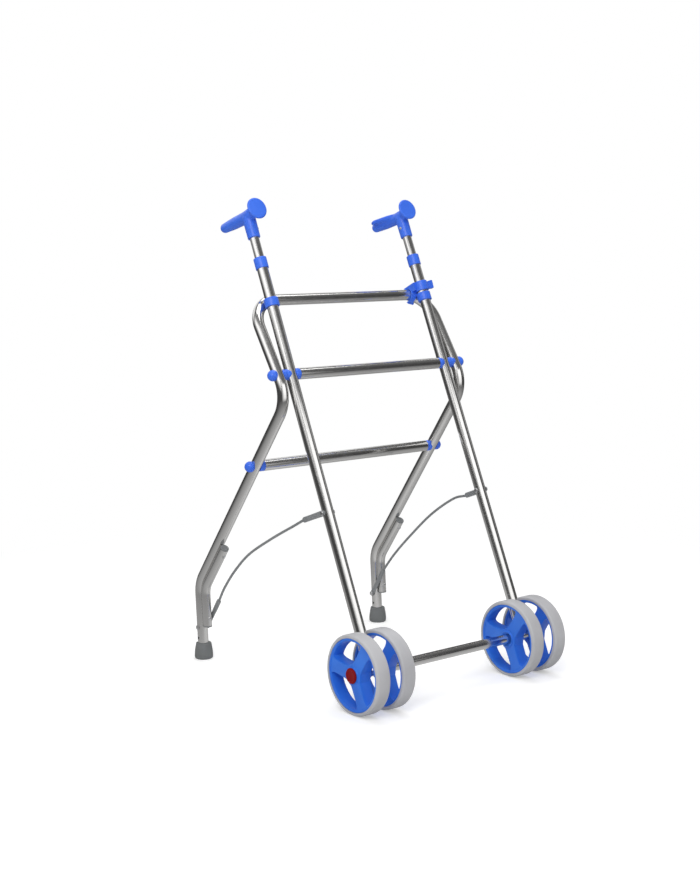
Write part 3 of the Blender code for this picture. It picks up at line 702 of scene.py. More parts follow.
# Node trees
class Wiring:
    """Short ways to add and join the nodes of a tree."""

    def __init__(self, tree: bpy.types.NodeTree) -> None:
        """Keeps the tree."""
        self.tree = tree

    def node(self, kind: str, **values: object) -> Node:
        """Adds a node.

        Args:
            kind: the node's type.
            values: its properties, and the values of its inputs with _ for a space.

        Returns:
            The node.
        """
        made = self.tree.nodes.new(kind)
        for key, value in values.items():
            if hasattr(made, key):
                setattr(made, key, value)
            else:
                made.inputs[key.replace("_", " ")].default_value = value
        return made

    def link(self, start: Socket, end: Socket) -> None:
        """Joins two sockets."""
        self.tree.links.new(start, end)

    def feed(self, value: Socket | float, end: Socket) -> None:
        """Gives an input a number, or the value of another socket.

        Args:
            value: the number or the socket.
            end: the input.
        """
        if isinstance(value, (int, float)):
            end.default_value = value
        else:
            self.link(value, end)

    def noise(self, vector: Socket, scale: Socket | float, detail: float) -> Socket:
        """A noise value.

        Args:
            vector: where it is read.
            scale: its fineness.
            detail: its finer layers.

        Returns:
            The value.
        """
        made = self.node("ShaderNodeTexNoise", Detail=detail)
        self.link(vector, made.inputs["Vector"])
        self.feed(scale, made.inputs["Scale"])
        return made.outputs["Fac"]

    def ranged(
        self, value: Socket, span: tuple[float, float], to: tuple[float, float] = (0.0, 1.0)
    ) -> Socket:
        """A value carried from one range to another.

        Args:
            value: the value.
            span: start and end of its range.
            to: start and end of the new range.

        Returns:
            The new value.
        """
        made = self.node("ShaderNodeMapRange")
        for index, number in enumerate((*span, *to), start=1):
            made.inputs[index].default_value = number
        self.link(value, made.inputs["Value"])
        return made.outputs["Result"]

    def mixed(self, value: Socket, low: Colour, high: Colour) -> Socket:
        """A colour between two colours.

        Args:
            value: 0 for the first colour, 1 for the second.
            low: the first colour.
            high: the second colour.

        Returns:
            The colour.
        """
        made = self.node("ShaderNodeMix", data_type="RGBA")
        made.inputs[6].default_value = (*low, 1.0)
        made.inputs[7].default_value = (*high, 1.0)
        self.link(value, made.inputs[0])
        return made.outputs[2]

    def maths(self, operation: str, a: Socket, b: Socket | float) -> Socket:
        """A sum, product or other function of two values.

        Args:
            operation: the function's name.
            a: the first value.
            b: the second value.

        Returns:
            The result.
        """
        made = self.node("ShaderNodeMath", operation=operation)
        self.link(a, made.inputs[0])
        self.feed(b, made.inputs[1])
        return made.outputs[0]

    def seen_directly(self) -> Socket:
        """Tells what is seen from what only gives soft light.

        Returns:
            1 for rays from the camera, a mirror or a clear piece, and 0 for the rest.
        """
        seen = self.node("ShaderNodeLightPath")
        shown = self.maths("MAXIMUM", seen.outputs["Is Camera Ray"], seen.outputs["Is Glossy Ray"])
        return self.maths("MAXIMUM", shown, seen.outputs["Is Transmission Ray"])


class NodeTree(Wiring):
    """A Geometry Nodes tree with named inputs, used to make one mesh at a time."""

    def __init__(self, name: str, inputs: dict[str, str]) -> None:
        """Starts the tree.

        Args:
            name: the tree's name.
            inputs: socket types by input name, besides Geometry and Material.
        """
        super().__init__(bpy.data.node_groups.new(name, "GeometryNodeTree"))
        sockets = {"Geometry": "NodeSocketGeometry", **inputs, "Material": "NodeSocketMaterial"}
        for label, kind in sockets.items():
            self.tree.interface.new_socket(label, in_out="INPUT", socket_type=kind)
        self.tree.interface.new_socket("Geometry", in_out="OUTPUT", socket_type="NodeSocketGeometry")
        self.source = self.node("NodeGroupInput")
        self.sink = self.node("NodeGroupOutput")

    def close(self, geometry: Socket) -> None:
        """Ends the tree: smooth shading, real meshes and the material.

        Args:
            geometry: what the tree has made.
        """
        smooth = self.node("GeometryNodeSetShadeSmooth")
        real = self.node("GeometryNodeRealizeInstances")
        finish = self.node("GeometryNodeSetMaterial")
        self.link(geometry, smooth.inputs["Geometry"])
        self.link(smooth.outputs[0], real.inputs[0])
        self.link(real.outputs[0], finish.inputs["Geometry"])
        self.link(self.source.outputs["Material"], finish.inputs["Material"])
        self.link(finish.outputs[0], self.sink.inputs[0])

    def made(self, obj: Piece, name: str, **values: object) -> Piece:
        """Runs the tree on an object and keeps the result as a plain mesh.

        Args:
            obj: curve or mesh that the tree starts from, which is removed.
            name: name of the result.
            values: input values by name.

        Returns:
            A mesh object.
        """
        modifier = obj.modifiers.new("make", "NODES")
        modifier.node_group = self.tree
        for item in self.tree.interface.items_tree:
            if item.in_out == "INPUT" and item.name in values:
                modifier[item.identifier] = values[item.name]
        bpy.context.view_layer.update()
        graph = bpy.context.evaluated_depsgraph_get()
        mesh = bpy.data.meshes.new_from_object(obj.evaluated_get(graph))
        mesh.name = name
        bpy.data.objects.remove(obj)
        return linked(name, mesh)


class TubeTree(NodeTree):
    """A closed round tube along a path."""

    def __init__(self) -> None:
        """Builds the tree."""
        super().__init__("tube_along_path", {"Radius": "NodeSocketFloat", "Sides": "NodeSocketInt"})
        circle = self.node("GeometryNodeCurvePrimitiveCircle", mode="RADIUS")
        solid = self.node("GeometryNodeCurveToMesh", Fill_Caps=True)
        self.link(self.source.outputs["Sides"], circle.inputs["Resolution"])
        self.link(self.source.outputs["Radius"], circle.inputs["Radius"])
        self.link(self.source.outputs["Geometry"], solid.inputs["Curve"])
        self.link(circle.outputs["Curve"], solid.inputs["Profile Curve"])
        self.close(solid.outputs["Mesh"])

    def along(self, name: str, path: Path, radius: float, material: Material, sides: int = 48) -> Piece:
        """A tube along a path.

        Args:
            name: name of the tube.
            path: its axis.
            radius: its radius.
            material: its finish.
            sides: points round it.

        Returns:
            A mesh object with its drawn lines laid.
        """
        curve = bpy.data.curves.new(name + "_axis", "CURVE")
        curve.dimensions = "3D"
        spline = curve.splines.new("POLY")
        spline.points.add(len(path) - 1)
        for point, place in zip(spline.points, path):
            point.co = (*place, 1.0)
        axis = linked(name + "_axis", curve)
        tube = self.made(axis, name, Radius=radius, Sides=sides, Material=material)
        outward(tube.data, SAME_POINT)
        return lay(tube, path)


class FastenerTree(NodeTree):
    """Copies of one fastener on points, each turned along the point's aim."""

    HEAD_SIDES = 24

    def __init__(self) -> None:
        """Builds the tree."""
        super().__init__("fasteners_on_points", {"Fastener": "NodeSocketObject"})
        head = self.node("GeometryNodeObjectInfo", transform_space="ORIGINAL")
        aim = self.node("GeometryNodeInputNamedAttribute", data_type="FLOAT_VECTOR", Name="aim")
        turn = self.node("FunctionNodeAlignRotationToVector", axis="Z")
        place = self.node("GeometryNodeInstanceOnPoints")
        self.link(self.source.outputs["Fastener"], head.inputs["Object"])
        self.link(aim.outputs["Attribute"], turn.inputs["Vector"])
        self.link(self.source.outputs["Geometry"], place.inputs["Points"])
        self.link(head.outputs["Geometry"], place.inputs["Instance"])
        self.link(turn.outputs["Rotation"], place.inputs["Rotation"])
        self.close(place.outputs["Instances"])

    def on(self, name: str, spots: Sequence[Spot], profile: Profile, material: Material) -> Piece:
        """Turned fasteners on spots.

        Args:
            name: name of the set.
            spots: place and aim of each fastener.
            profile: the fastener's turned profile, with height 0 on the surface.
            material: its finish.

        Returns:
            A mesh object.
        """
        head = turned("fastener", profile, Vector(), Z, self.HEAD_SIDES)
        holder = new_object(name + "_spots", [place for place, _ in spots], [])
        layer = holder.data.attributes.new("aim", "FLOAT_VECTOR", "POINT")
        for item, (_, aim) in zip(layer.data, spots):
            item.vector = aim
        made = self.made(holder, name, Fastener=head, Material=material)
        bpy.data.objects.remove(head)
        return made


# Finishes
class SurfaceGroup(Wiring):
    """A shader node group that several finishes share."""

    def __init__(self, name: str, inputs: Sequence[str], outputs: Sequence[str]) -> None:
        """Starts the group.

        Args:
            name: the group's name.
            inputs: names of its value inputs.
            outputs: names of its value outputs.
        """
        super().__init__(bpy.data.node_groups.new(name, "ShaderNodeTree"))
        for in_out, labels in (("INPUT", inputs), ("OUTPUT", outputs)):
            for label in labels:
                self.tree.interface.new_socket(label, in_out=in_out, socket_type="NodeSocketFloat")
        self.start = self.node("NodeGroupInput")
        self.end = self.node("NodeGroupOutput")

    def give(self, value: Socket, label: str) -> None:
        """Sends a value to one of the group's outputs."""
        self.link(value, self.end.inputs[label])


class DrawnLines(SurfaceGroup):
    """Fine lines along a drawn tube, with a few deeper scratches."""

    LINE_STRETCH = (1.0, 1.0, 0.012)
    LINE_DETAIL = 3.0
    SCRATCH_STRETCH = (1.0, 1.0, 0.05)
    SCRATCH_FINENESS = 620.0
    SCRATCH_DETAIL = 1.0
    SCRATCH_RANGE = (0.66, 0.74)

    def __init__(self) -> None:
        """Builds the group."""
        super().__init__("drawn_lines", ["Fineness"], ["Lines", "Scratches"])
        place = self.node("ShaderNodeAttribute", attribute_name="lay")
        fine = self.node("ShaderNodeMapping", Scale=self.LINE_STRETCH)
        coarse = self.node("ShaderNodeMapping", Scale=self.SCRATCH_STRETCH)
        for stretch in (fine, coarse):
            self.link(place.outputs["Vector"], stretch.inputs["Vector"])
        lines = self.noise(fine.outputs["Vector"], self.start.outputs["Fineness"], self.LINE_DETAIL)
        self.give(lines, "Lines")
        scratches = self.noise(coarse.outputs["Vector"], self.SCRATCH_FINENESS, self.SCRATCH_DETAIL)
        self.give(self.ranged(scratches, self.SCRATCH_RANGE), "Scratches")


class MouldedGrain(SurfaceGroup):
    """Fine spark-eroded grain of a moulded surface, and slow shade changes."""

    GRAIN_DETAIL = 2.0
    SHADE_FINENESS = 14.0
    SHADE_DETAIL = 3.0
    SHADE_RANGE = (0.3, 0.7)

    def __init__(self) -> None:
        """Builds the group."""
        super().__init__("moulded_grain", ["Fineness"], ["Grain", "Shade"])
        place = self.node("ShaderNodeTexCoord")
        grain = self.noise(place.outputs["Object"], self.start.outputs["Fineness"], self.GRAIN_DETAIL)
        self.give(grain, "Grain")
        slow = self.noise(place.outputs["Object"], self.SHADE_FINENESS, self.SHADE_DETAIL)
        self.give(self.ranged(slow, self.SHADE_RANGE), "Shade")


class HandlingMarks(SurfaceGroup):
    """Faint smudges and dulled patches left by hands."""

    MARK_DETAIL = 5.0
    MARK_RANGE = (0.52, 0.75)

    def __init__(self) -> None:
        """Builds the group."""
        super().__init__("handling_marks", ["Spread"], ["Marks"])
        place = self.node("ShaderNodeTexCoord")
        wide = self.noise(place.outputs["Object"], self.start.outputs["Spread"], self.MARK_DETAIL)
        self.give(self.ranged(wide, self.MARK_RANGE), "Marks")


@dataclass(frozen=True)
class Moulded:
    """A plastic or rubber: its shades, its roughness, and the fineness and strength of its grain."""

    dark: Colour
    light: Colour
    smooth: float
    dull: float
    grain: float
    relief: float
    specular: float = 0.5
    spread: float = 22.0
    depth: float = 0.0004


@dataclass(frozen=True)
class Metal:
    """A metal: its tints, its roughness, and the fineness, strength and depth of its lines or grain."""

    dark: Colour
    light: Colour
    smooth: float
    dull: float
    grain: float
    relief: float
    depth: float
    relief_range: tuple[float, float] = (0.3, 0.7)
    spread: float = 30.0
    smudged: float = 0.07
    scored: float = 0.05


class FinishShelf:
    """The materials of the walking frame."""

    MOULDED = {
        Finish.BLUE: Moulded((0.03, 0.132, 0.76), (0.045, 0.174, 0.86), 0.34, 0.46, 900.0, 0.02),
        # Hub copy of the blue plastic: greener tint, with red and blue lowered as painted shade.
        Finish.HUB: Moulded((0.022, 0.15, 0.7), (0.036, 0.2, 0.8), 0.34, 0.46, 900.0, 0.02, 0.4),
        Finish.TYRE: Moulded((0.44, 0.44, 0.46), (0.52, 0.52, 0.54), 0.5, 0.66, 800.0, 0.06, 0.35),
        Finish.RED: Moulded((0.2, 0.001, 0.003), (0.25, 0.002, 0.005), 0.28, 0.4, 900.0, 0.02, 0.15),
        Finish.RUBBER: Moulded((0.15, 0.158, 0.16), (0.2, 0.21, 0.215), 0.62, 0.78, 700.0, 0.1, 0.3),
        Finish.GREY: Moulded((0.19, 0.2, 0.206), (0.24, 0.25, 0.258), 0.42, 0.56, 900.0, 0.05),
    }
    ALUMINIUM = Metal((0.75, 0.742, 0.73), (0.82, 0.814, 0.804), 0.12, 0.16, 900.0, 0.004, 0.0002)
    STEEL = Metal((0.6, 0.6, 0.61), (0.74, 0.74, 0.75), 0.2, 0.36, 3200.0, 0.08, 0.0003)

    def __init__(self) -> None:
        """Makes one material for each finish."""
        self.drawn = DrawnLines().tree
        self.grain = MouldedGrain().tree
        self.marks = HandlingMarks().tree
        self.of = {finish: self.moulded(finish, spec) for finish, spec in self.MOULDED.items()}
        self.of[Finish.ALUMINIUM] = self.aluminium()
        self.of[Finish.STEEL] = self.steel()

    def start(self, finish: Finish) -> tuple[Material, Wiring, Node]:
        """A new material.

        Args:
            finish: the finish that it shows.

        Returns:
            The material, its wiring and its Principled shader.
        """
        material = bpy.data.materials.new(finish.value + "_look")
        material.use_nodes = True
        return material, Wiring(material.node_tree), material.node_tree.nodes["Principled BSDF"]

    def surface(
        self, wires: Wiring, shader: Node, spec: Moulded | Metal, shade: Socket, height: Socket
    ) -> None:
        """Gives a shader its colour and its relief.

        Args:
            wires: the material's wiring.
            shader: its Principled shader.
            spec: the finish's values.
            shade: where the colour lies between the dark and the light one.
            height: height of the relief.
        """
        wires.link(wires.mixed(shade, spec.dark, spec.light), shader.inputs["Base Color"])
        bump = wires.node("ShaderNodeBump", Strength=spec.relief, Distance=spec.depth)
        wires.link(height, bump.inputs["Height"])
        wires.link(bump.outputs["Normal"], shader.inputs["Normal"])

    def moulded(self, finish: Finish, spec: Moulded) -> Material:
        """A plastic or rubber with grain, slow shade changes and dulled patches.

        Args:
            finish: the finish.
            spec: its values.

        Returns:
            The material.
        """
        material, wires, shader = self.start(finish)
        grain = wires.node("ShaderNodeGroup", node_tree=self.grain, Fineness=spec.grain)
        marks = wires.node("ShaderNodeGroup", node_tree=self.marks, Spread=spec.spread)
        self.surface(wires, shader, spec, grain.outputs["Shade"], grain.outputs["Grain"])
        rough = wires.ranged(marks.outputs["Marks"], (0.0, 1.0), (spec.smooth, spec.dull))
        wires.link(rough, shader.inputs["Roughness"])
        shader.inputs["Specular IOR Level"].default_value = spec.specular
        return material

    def aluminium(self) -> Material:
        """Bright drawn aluminium tube with fine lines along it.

        Returns:
            The material.
        """
        spec = self.ALUMINIUM
        material, wires, shader = self.start(Finish.ALUMINIUM)
        drawn = wires.node("ShaderNodeGroup", node_tree=self.drawn, Fineness=spec.grain)
        marks = wires.node("ShaderNodeGroup", node_tree=self.marks, Spread=spec.spread)
        lines = drawn.outputs["Lines"]
        self.surface(wires, shader, spec, lines, lines)
        shader.inputs["Metallic"].default_value = 1.0
        rough = wires.ranged(lines, spec.relief_range, (spec.smooth, spec.dull))
        smudged = wires.maths("MULTIPLY", marks.outputs["Marks"], spec.smudged)
        scored = wires.maths("MULTIPLY", drawn.outputs["Scratches"], spec.scored)
        total = wires.maths("ADD", wires.maths("ADD", rough, smudged), scored)
        wires.link(total, shader.inputs["Roughness"])
        return material

    def steel(self) -> Material:
        """Zinc-plated steel of the rivets, bolts and screws.

        Returns:
            The material.
        """
        spec = self.STEEL
        material, wires, shader = self.start(Finish.STEEL)
        grain = wires.node("ShaderNodeGroup", node_tree=self.grain, Fineness=spec.grain)
        self.surface(wires, shader, spec, grain.outputs["Shade"], grain.outputs["Grain"])
        shader.inputs["Metallic"].default_value = 1.0
        rough = wires.ranged(grain.outputs["Grain"], spec.relief_range, (spec.smooth, spec.dull))
        wires.link(rough, shader.inputs["Roughness"])
        return material


@dataclass
class Workshop:
    """What every sub-assembly uses: the finishes and the node trees."""

    shelf: FinishShelf
    tubes: TubeTree
    fasteners: FastenerTree

    def look(self, finish: Finish) -> Material:
        """The material of a finish."""
        return self.shelf.of[finish]

    def prepare(self, obj: Piece, finish: Finish, sharp: float) -> None:
        """Moves a piece into the shared frame, shades it and gives it its material.

        Args:
            obj: the piece, in millimetres.
            finish: its finish.
            sharp: angle from which an edge stays sharp, in degrees.
        """
        obj.data.transform(PLAN.to_row())
        obj.data.shade_smooth()
        obj.data.set_sharp_from_angle(angle=math.radians(sharp))
        obj.data.materials.clear()
        obj.data.materials.append(self.look(finish))
        LOG.info("%s: %d faces", obj.name, len(obj.data.polygons))

    def dress(self, obj: Piece, body: str, finish: Finish, *nodes: str, sharp: float = 35.0) -> None:
        """Finishes a piece and puts it on its body.

        Args:
            obj: the piece, in millimetres.
            body: the body that it moves with.
            finish: its finish.
            nodes: the nodes that it stands for.
            sharp: angle from which an edge stays sharp, in degrees.
        """
        self.prepare(obj, finish, sharp)
        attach(obj, body)
        if nodes:
            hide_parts(*nodes)

    def tube(self, node: str, body: str, path: Path, radius: float, sides: int = 48) -> None:
        """A bright tube along a path, which stands for a node."""
        tube = self.tubes.along(node + "_skin", path, radius, self.look(Finish.ALUMINIUM), sides)
        self.dress(tube, body, Finish.ALUMINIUM, node)

    def lathed(
        self, node: str, body: str, finish: Finish, profile: Profile, origin: Vector, axis: Vector,
        count: int = 64, sharp: float = 35.0,
    ) -> None:
        """A turned piece, which stands for a node."""
        piece = turned(node + "_skin", profile, origin, axis, count)
        self.dress(piece, body, finish, node, sharp=sharp)

    def heads(self, name: str, body: str, spots: Sequence[Spot], profile: Profile) -> None:
        """Steel fasteners on spots, which stand for no node."""
        heads = self.fasteners.on(name, spots, profile, self.look(Finish.STEEL))
        self.dress(heads, body, Finish.STEEL)


# Sub-assemblies
@dataclass
class SubAssembly:
    """A group of pieces that is built together."""

    shop: Workshop

    def build(self) -> None:
        """Builds and dresses the pieces."""
        raise NotImplementedError


@dataclass
class FrontFrame(SubAssembly):
    """The two front tubes, the axle and its caps."""

    tube_low_s: float = -2.0
    tube_pitch: float = 12.0
    tube_sides: int = 56
    drill_half: float = 30.0
    cope_gap: float = 0.4
    cope_sides: int = 48
    trim_half: float = 20.0
    trim_deep: float = 26.0
    trim_high: float = 0.1
    axle_past: float = 44.9
    cap_deep: float = 14.0
    cap_seat: float = 0.5
    cap_soft: float = 0.6
    cap_face: Profile = ((14.5, 2.4), (13.2, 3.6), (10.2, 3.8), (9.6, 3.0), (0.0, 2.7))

    def tube(self, side: Side) -> None:
        """A front tube, coped on to the axle, with its bolt and rivet holes.

        Args:
            side: which tube.
        """
        name = f"front_tube_{side.word}"
        start, end = (PLAN.on_front(side, s) for s in (self.tube_low_s, PLAN.front_top_s))
        path = divided(start, end, self.tube_pitch)
        tube = swept(name + "_skin", path, PLAN.tube_r, PLAN.bore, self.tube_sides)
        axle = PLAN.on_front(side, 0.0)
        cut(tube, drill(axle, self.drill_half, PLAN.axle_r + self.cope_gap, self.cope_sides))
        cut(tube, below(axle, self.trim_half, self.trim_deep, self.trim_high))
        for s, radius in ((PLAN.pivot_s, PLAN.bolt_r), (PLAN.cable_s, PLAN.rivet_r)):
            cut(tube, drill(PLAN.on_front(side, s), self.drill_half, radius + PLAN.gap))
        self.shop.dress(lay(tube, path), "front_frame", Finish.ALUMINIUM, name)

    def axle(self) -> None:
        """The axle through both front tubes' ends, with a red cap at each end."""
        half = PLAN.front_x + self.axle_past
        path = divided(PLAN.axle - X * half, PLAN.axle + X * half, PLAN.straight_pitch)
        tube = self.shop.tubes.along("axle_skin", path, PLAN.axle_r, self.shop.look(Finish.ALUMINIUM))
        self.shop.dress(tube, "front_frame", Finish.ALUMINIUM, "axle_tube")
        plug = PLAN.axle_r - PLAN.axle_wall - PLAN.gap
        profile = [(0.0, -self.cap_deep), (plug, -self.cap_deep), (plug, self.cap_seat)]
        profile = eased([*profile, (self.cap_face[0][0], self.cap_seat), *self.cap_face], self.cap_soft)
        for side in Side:
            end = PLAN.axle + side.out * half
            self.shop.lathed(f"hub_cap_{side.word}", "front_frame", Finish.RED, profile, end, side.out)

    def build(self) -> None:
        """Builds the front tubes and the axle."""
        for side in Side:
            self.tube(side)
        self.axle()


@dataclass
class RearFrame(SubAssembly):
    """The bent rear tube, its stiffeners and its feet."""

    leg_low_z: float = 9.0
    spare_hole_z: float = 43.0
    tube_pitch: float = 14.0
    drill_half: float = 20.0
    stiff_top_z: float = 254.0
    stiff_low_z: float = 70.0
    plug_wall: float = 1.8
    plug_deep: float = 9.0
    plug_step: float = 2.4
    plug_soft: float = 0.7
    plug_sides: int = 40
    rivet_in: float = 15.0
    rivet_sunk: float = 0.1
    rivet_soft: float = 0.3
    rivet_head: Profile = ((0.0, -1.0), (3.6, -1.0), (3.6, 0.4), (2.9, 1.3), (1.5, 1.6), (0.0, 1.65))
    foot_back: float = 0.3
    foot_bore_top: float = 60.0
    foot_soft: float = 0.8
    foot_sides: int = 72
    foot_sharp: float = 50.0
    foot_tread: Profile = (
        (0.0, 0.8), (4.0, 0.8), (4.4, 0.0), (8.2, 0.0), (8.6, 0.8), (11.4, 0.8), (11.8, 0.0), (16.6, 0.0),
    )
    foot_wall: Profile = (
        (18.4, 1.4), (18.9, 5.0), (18.9, 9.0), (18.4, 16.0), (17.2, 24.0), (16.2, 29.0), (15.9, 30.6),
        (15.4, 32.6), (0.0, 33.0),
    )

    def corners(self, side: Side) -> Path:
        """Corner points of one half of the tube, from the foot up."""
        foot = PLAN.foot_at(side, self.leg_low_z)
        return [foot, PLAN.bend_at(side), PLAN.knee_at(side), PLAN.top_bar + side.out * PLAN.side_x]

    def path(self) -> Path:
        """The tube's axis.

        Returns:
            Points from the left foot over the top bar to the right foot.
        """
        left, right = (self.corners(side) for side in Side)
        radii = [PLAN.leg_r, PLAN.knee_r, PLAN.corner_r]
        bent = fillet(left + right[::-1], radii + radii[::-1])
        path = [bent[0]]
        for point in bent[1:]:
            path += divided(path[-1], point, self.tube_pitch)[1:]
        return path

    def tube(self) -> None:
        """The bent tube with its bolt, rivet and spare holes."""
        path = self.path()
        tube = swept("rear_tube_skin", path, PLAN.tube_r, PLAN.bore)
        for side in Side:
            holes = (
                (PLAN.pivot + side.out * PLAN.side_x, PLAN.bolt_r + PLAN.gap),
                (PLAN.leg_at(side, PLAN.lower_bar[1]), PLAN.bolt_r + PLAN.gap),
                (PLAN.foot_at(side, PLAN.cable_z), PLAN.rivet_r + PLAN.gap),
                (PLAN.foot_at(side, self.spare_hole_z), PLAN.rivet_r),
            )
            for middle, radius in holes:
                cut(tube, drill(middle, self.drill_half, radius))
        self.shop.dress(lay(tube, path), "rear_frame", Finish.ALUMINIUM, "rear_frame")

    def stiffener_path(self, side: Side) -> Path:
        """Axis of the short tube in front of a leg's lower bend.

        Args:
            side: which leg.

        Returns:
            The path, downwards.
        """
        leg = PLAN.leg_dir(side)
        low = (PLAN.foot_at(side, 0.0) - PLAN.bend_at(side)).normalized()
        off = PLAN.tube_r + PLAN.stiff_r + PLAN.gap
        a = PLAN.leg_at(side, self.stiff_top_z) + Vector((0.0, leg.z, -leg.y)).normalized() * off
        b = PLAN.foot_at(side, self.stiff_low_z) + Vector((0.0, low.z, -low.y)).normalized() * off
        y, z = line_meet(a.yz, (a.y + leg.y, a.z + leg.z), b.yz, (b.y + low.y, b.z + low.z))
        corner = Vector((side.value * PLAN.foot_x, y, z))
        return fillet([a, corner, b], [PLAN.leg_r - off])

    def stiffener(self, side: Side) -> list[Spot]:
        """A stiffener with a plug in each end.

        Args:
            side: which leg.

        Returns:
            Place and aim of the two rivets on its front.
        """
        path = self.stiffener_path(side)
        self.shop.tube(f"stiffener_{side.word}", "rear_frame", path, PLAN.stiff_r)
        bore, wide = PLAN.stiff_r - self.plug_wall, PLAN.stiff_r
        profile = [(0.0, -self.plug_deep), (bore, -self.plug_deep), (bore, PLAN.gap), (wide, PLAN.gap)]
        profile = eased([*profile, (wide, self.plug_step), (0.0, self.plug_step)], self.plug_soft)
        spots = []
        for end, beyond, place in ((path[0], path[1], "top"), (path[-1], path[-2], "bottom")):
            out = (end - beyond).normalized()
            node = f"stiffener_plug_{place}_{side.word}"
            self.shop.lathed(node, "rear_frame", Finish.GREY, profile, end, out, self.plug_sides)
            ahead = Vector((0.0, -abs(out.z), out.y * math.copysign(1.0, out.z))).normalized()
            spots.append((end - out * self.rivet_in + ahead * (wide - self.rivet_sunk), ahead))
        return spots

    def foot(self, side: Side) -> None:
        """A rubber foot with a rolled top edge and a grooved tread.

        Args:
            side: which leg.
        """
        name = f"foot_{side.word}"
        profile = eased([*self.foot_tread, *self.foot_wall], self.foot_soft)
        sole = PLAN.foot_at(side, 0.0) + Y * self.foot_back
        body = turned(name + "_skin", profile, sole, Z, self.foot_sides)
        leg_end, above = (PLAN.foot_at(side, z) for z in (self.leg_low_z - PLAN.gap, self.foot_bore_top))
        cut(body, rod(leg_end, above, PLAN.seat))
        self.shop.dress(body, "rear_frame", Finish.RUBBER, name, sharp=self.foot_sharp)

    def build(self) -> None:
        """Builds the rear frame."""
        self.tube()
        spots = []
        for side in Side:
            spots += self.stiffener(side)
            self.foot(side)
        self.shop.heads("stiffener_rivets", "rear_frame", spots, eased(self.rivet_head, self.rivet_soft))


@dataclass(frozen=True)
class Hold:
    """Where fittings sit on one of the frame's tubes: a point of its axis, and its direction."""

    side: Side
    body: str
    point: Vector
    along: Vector


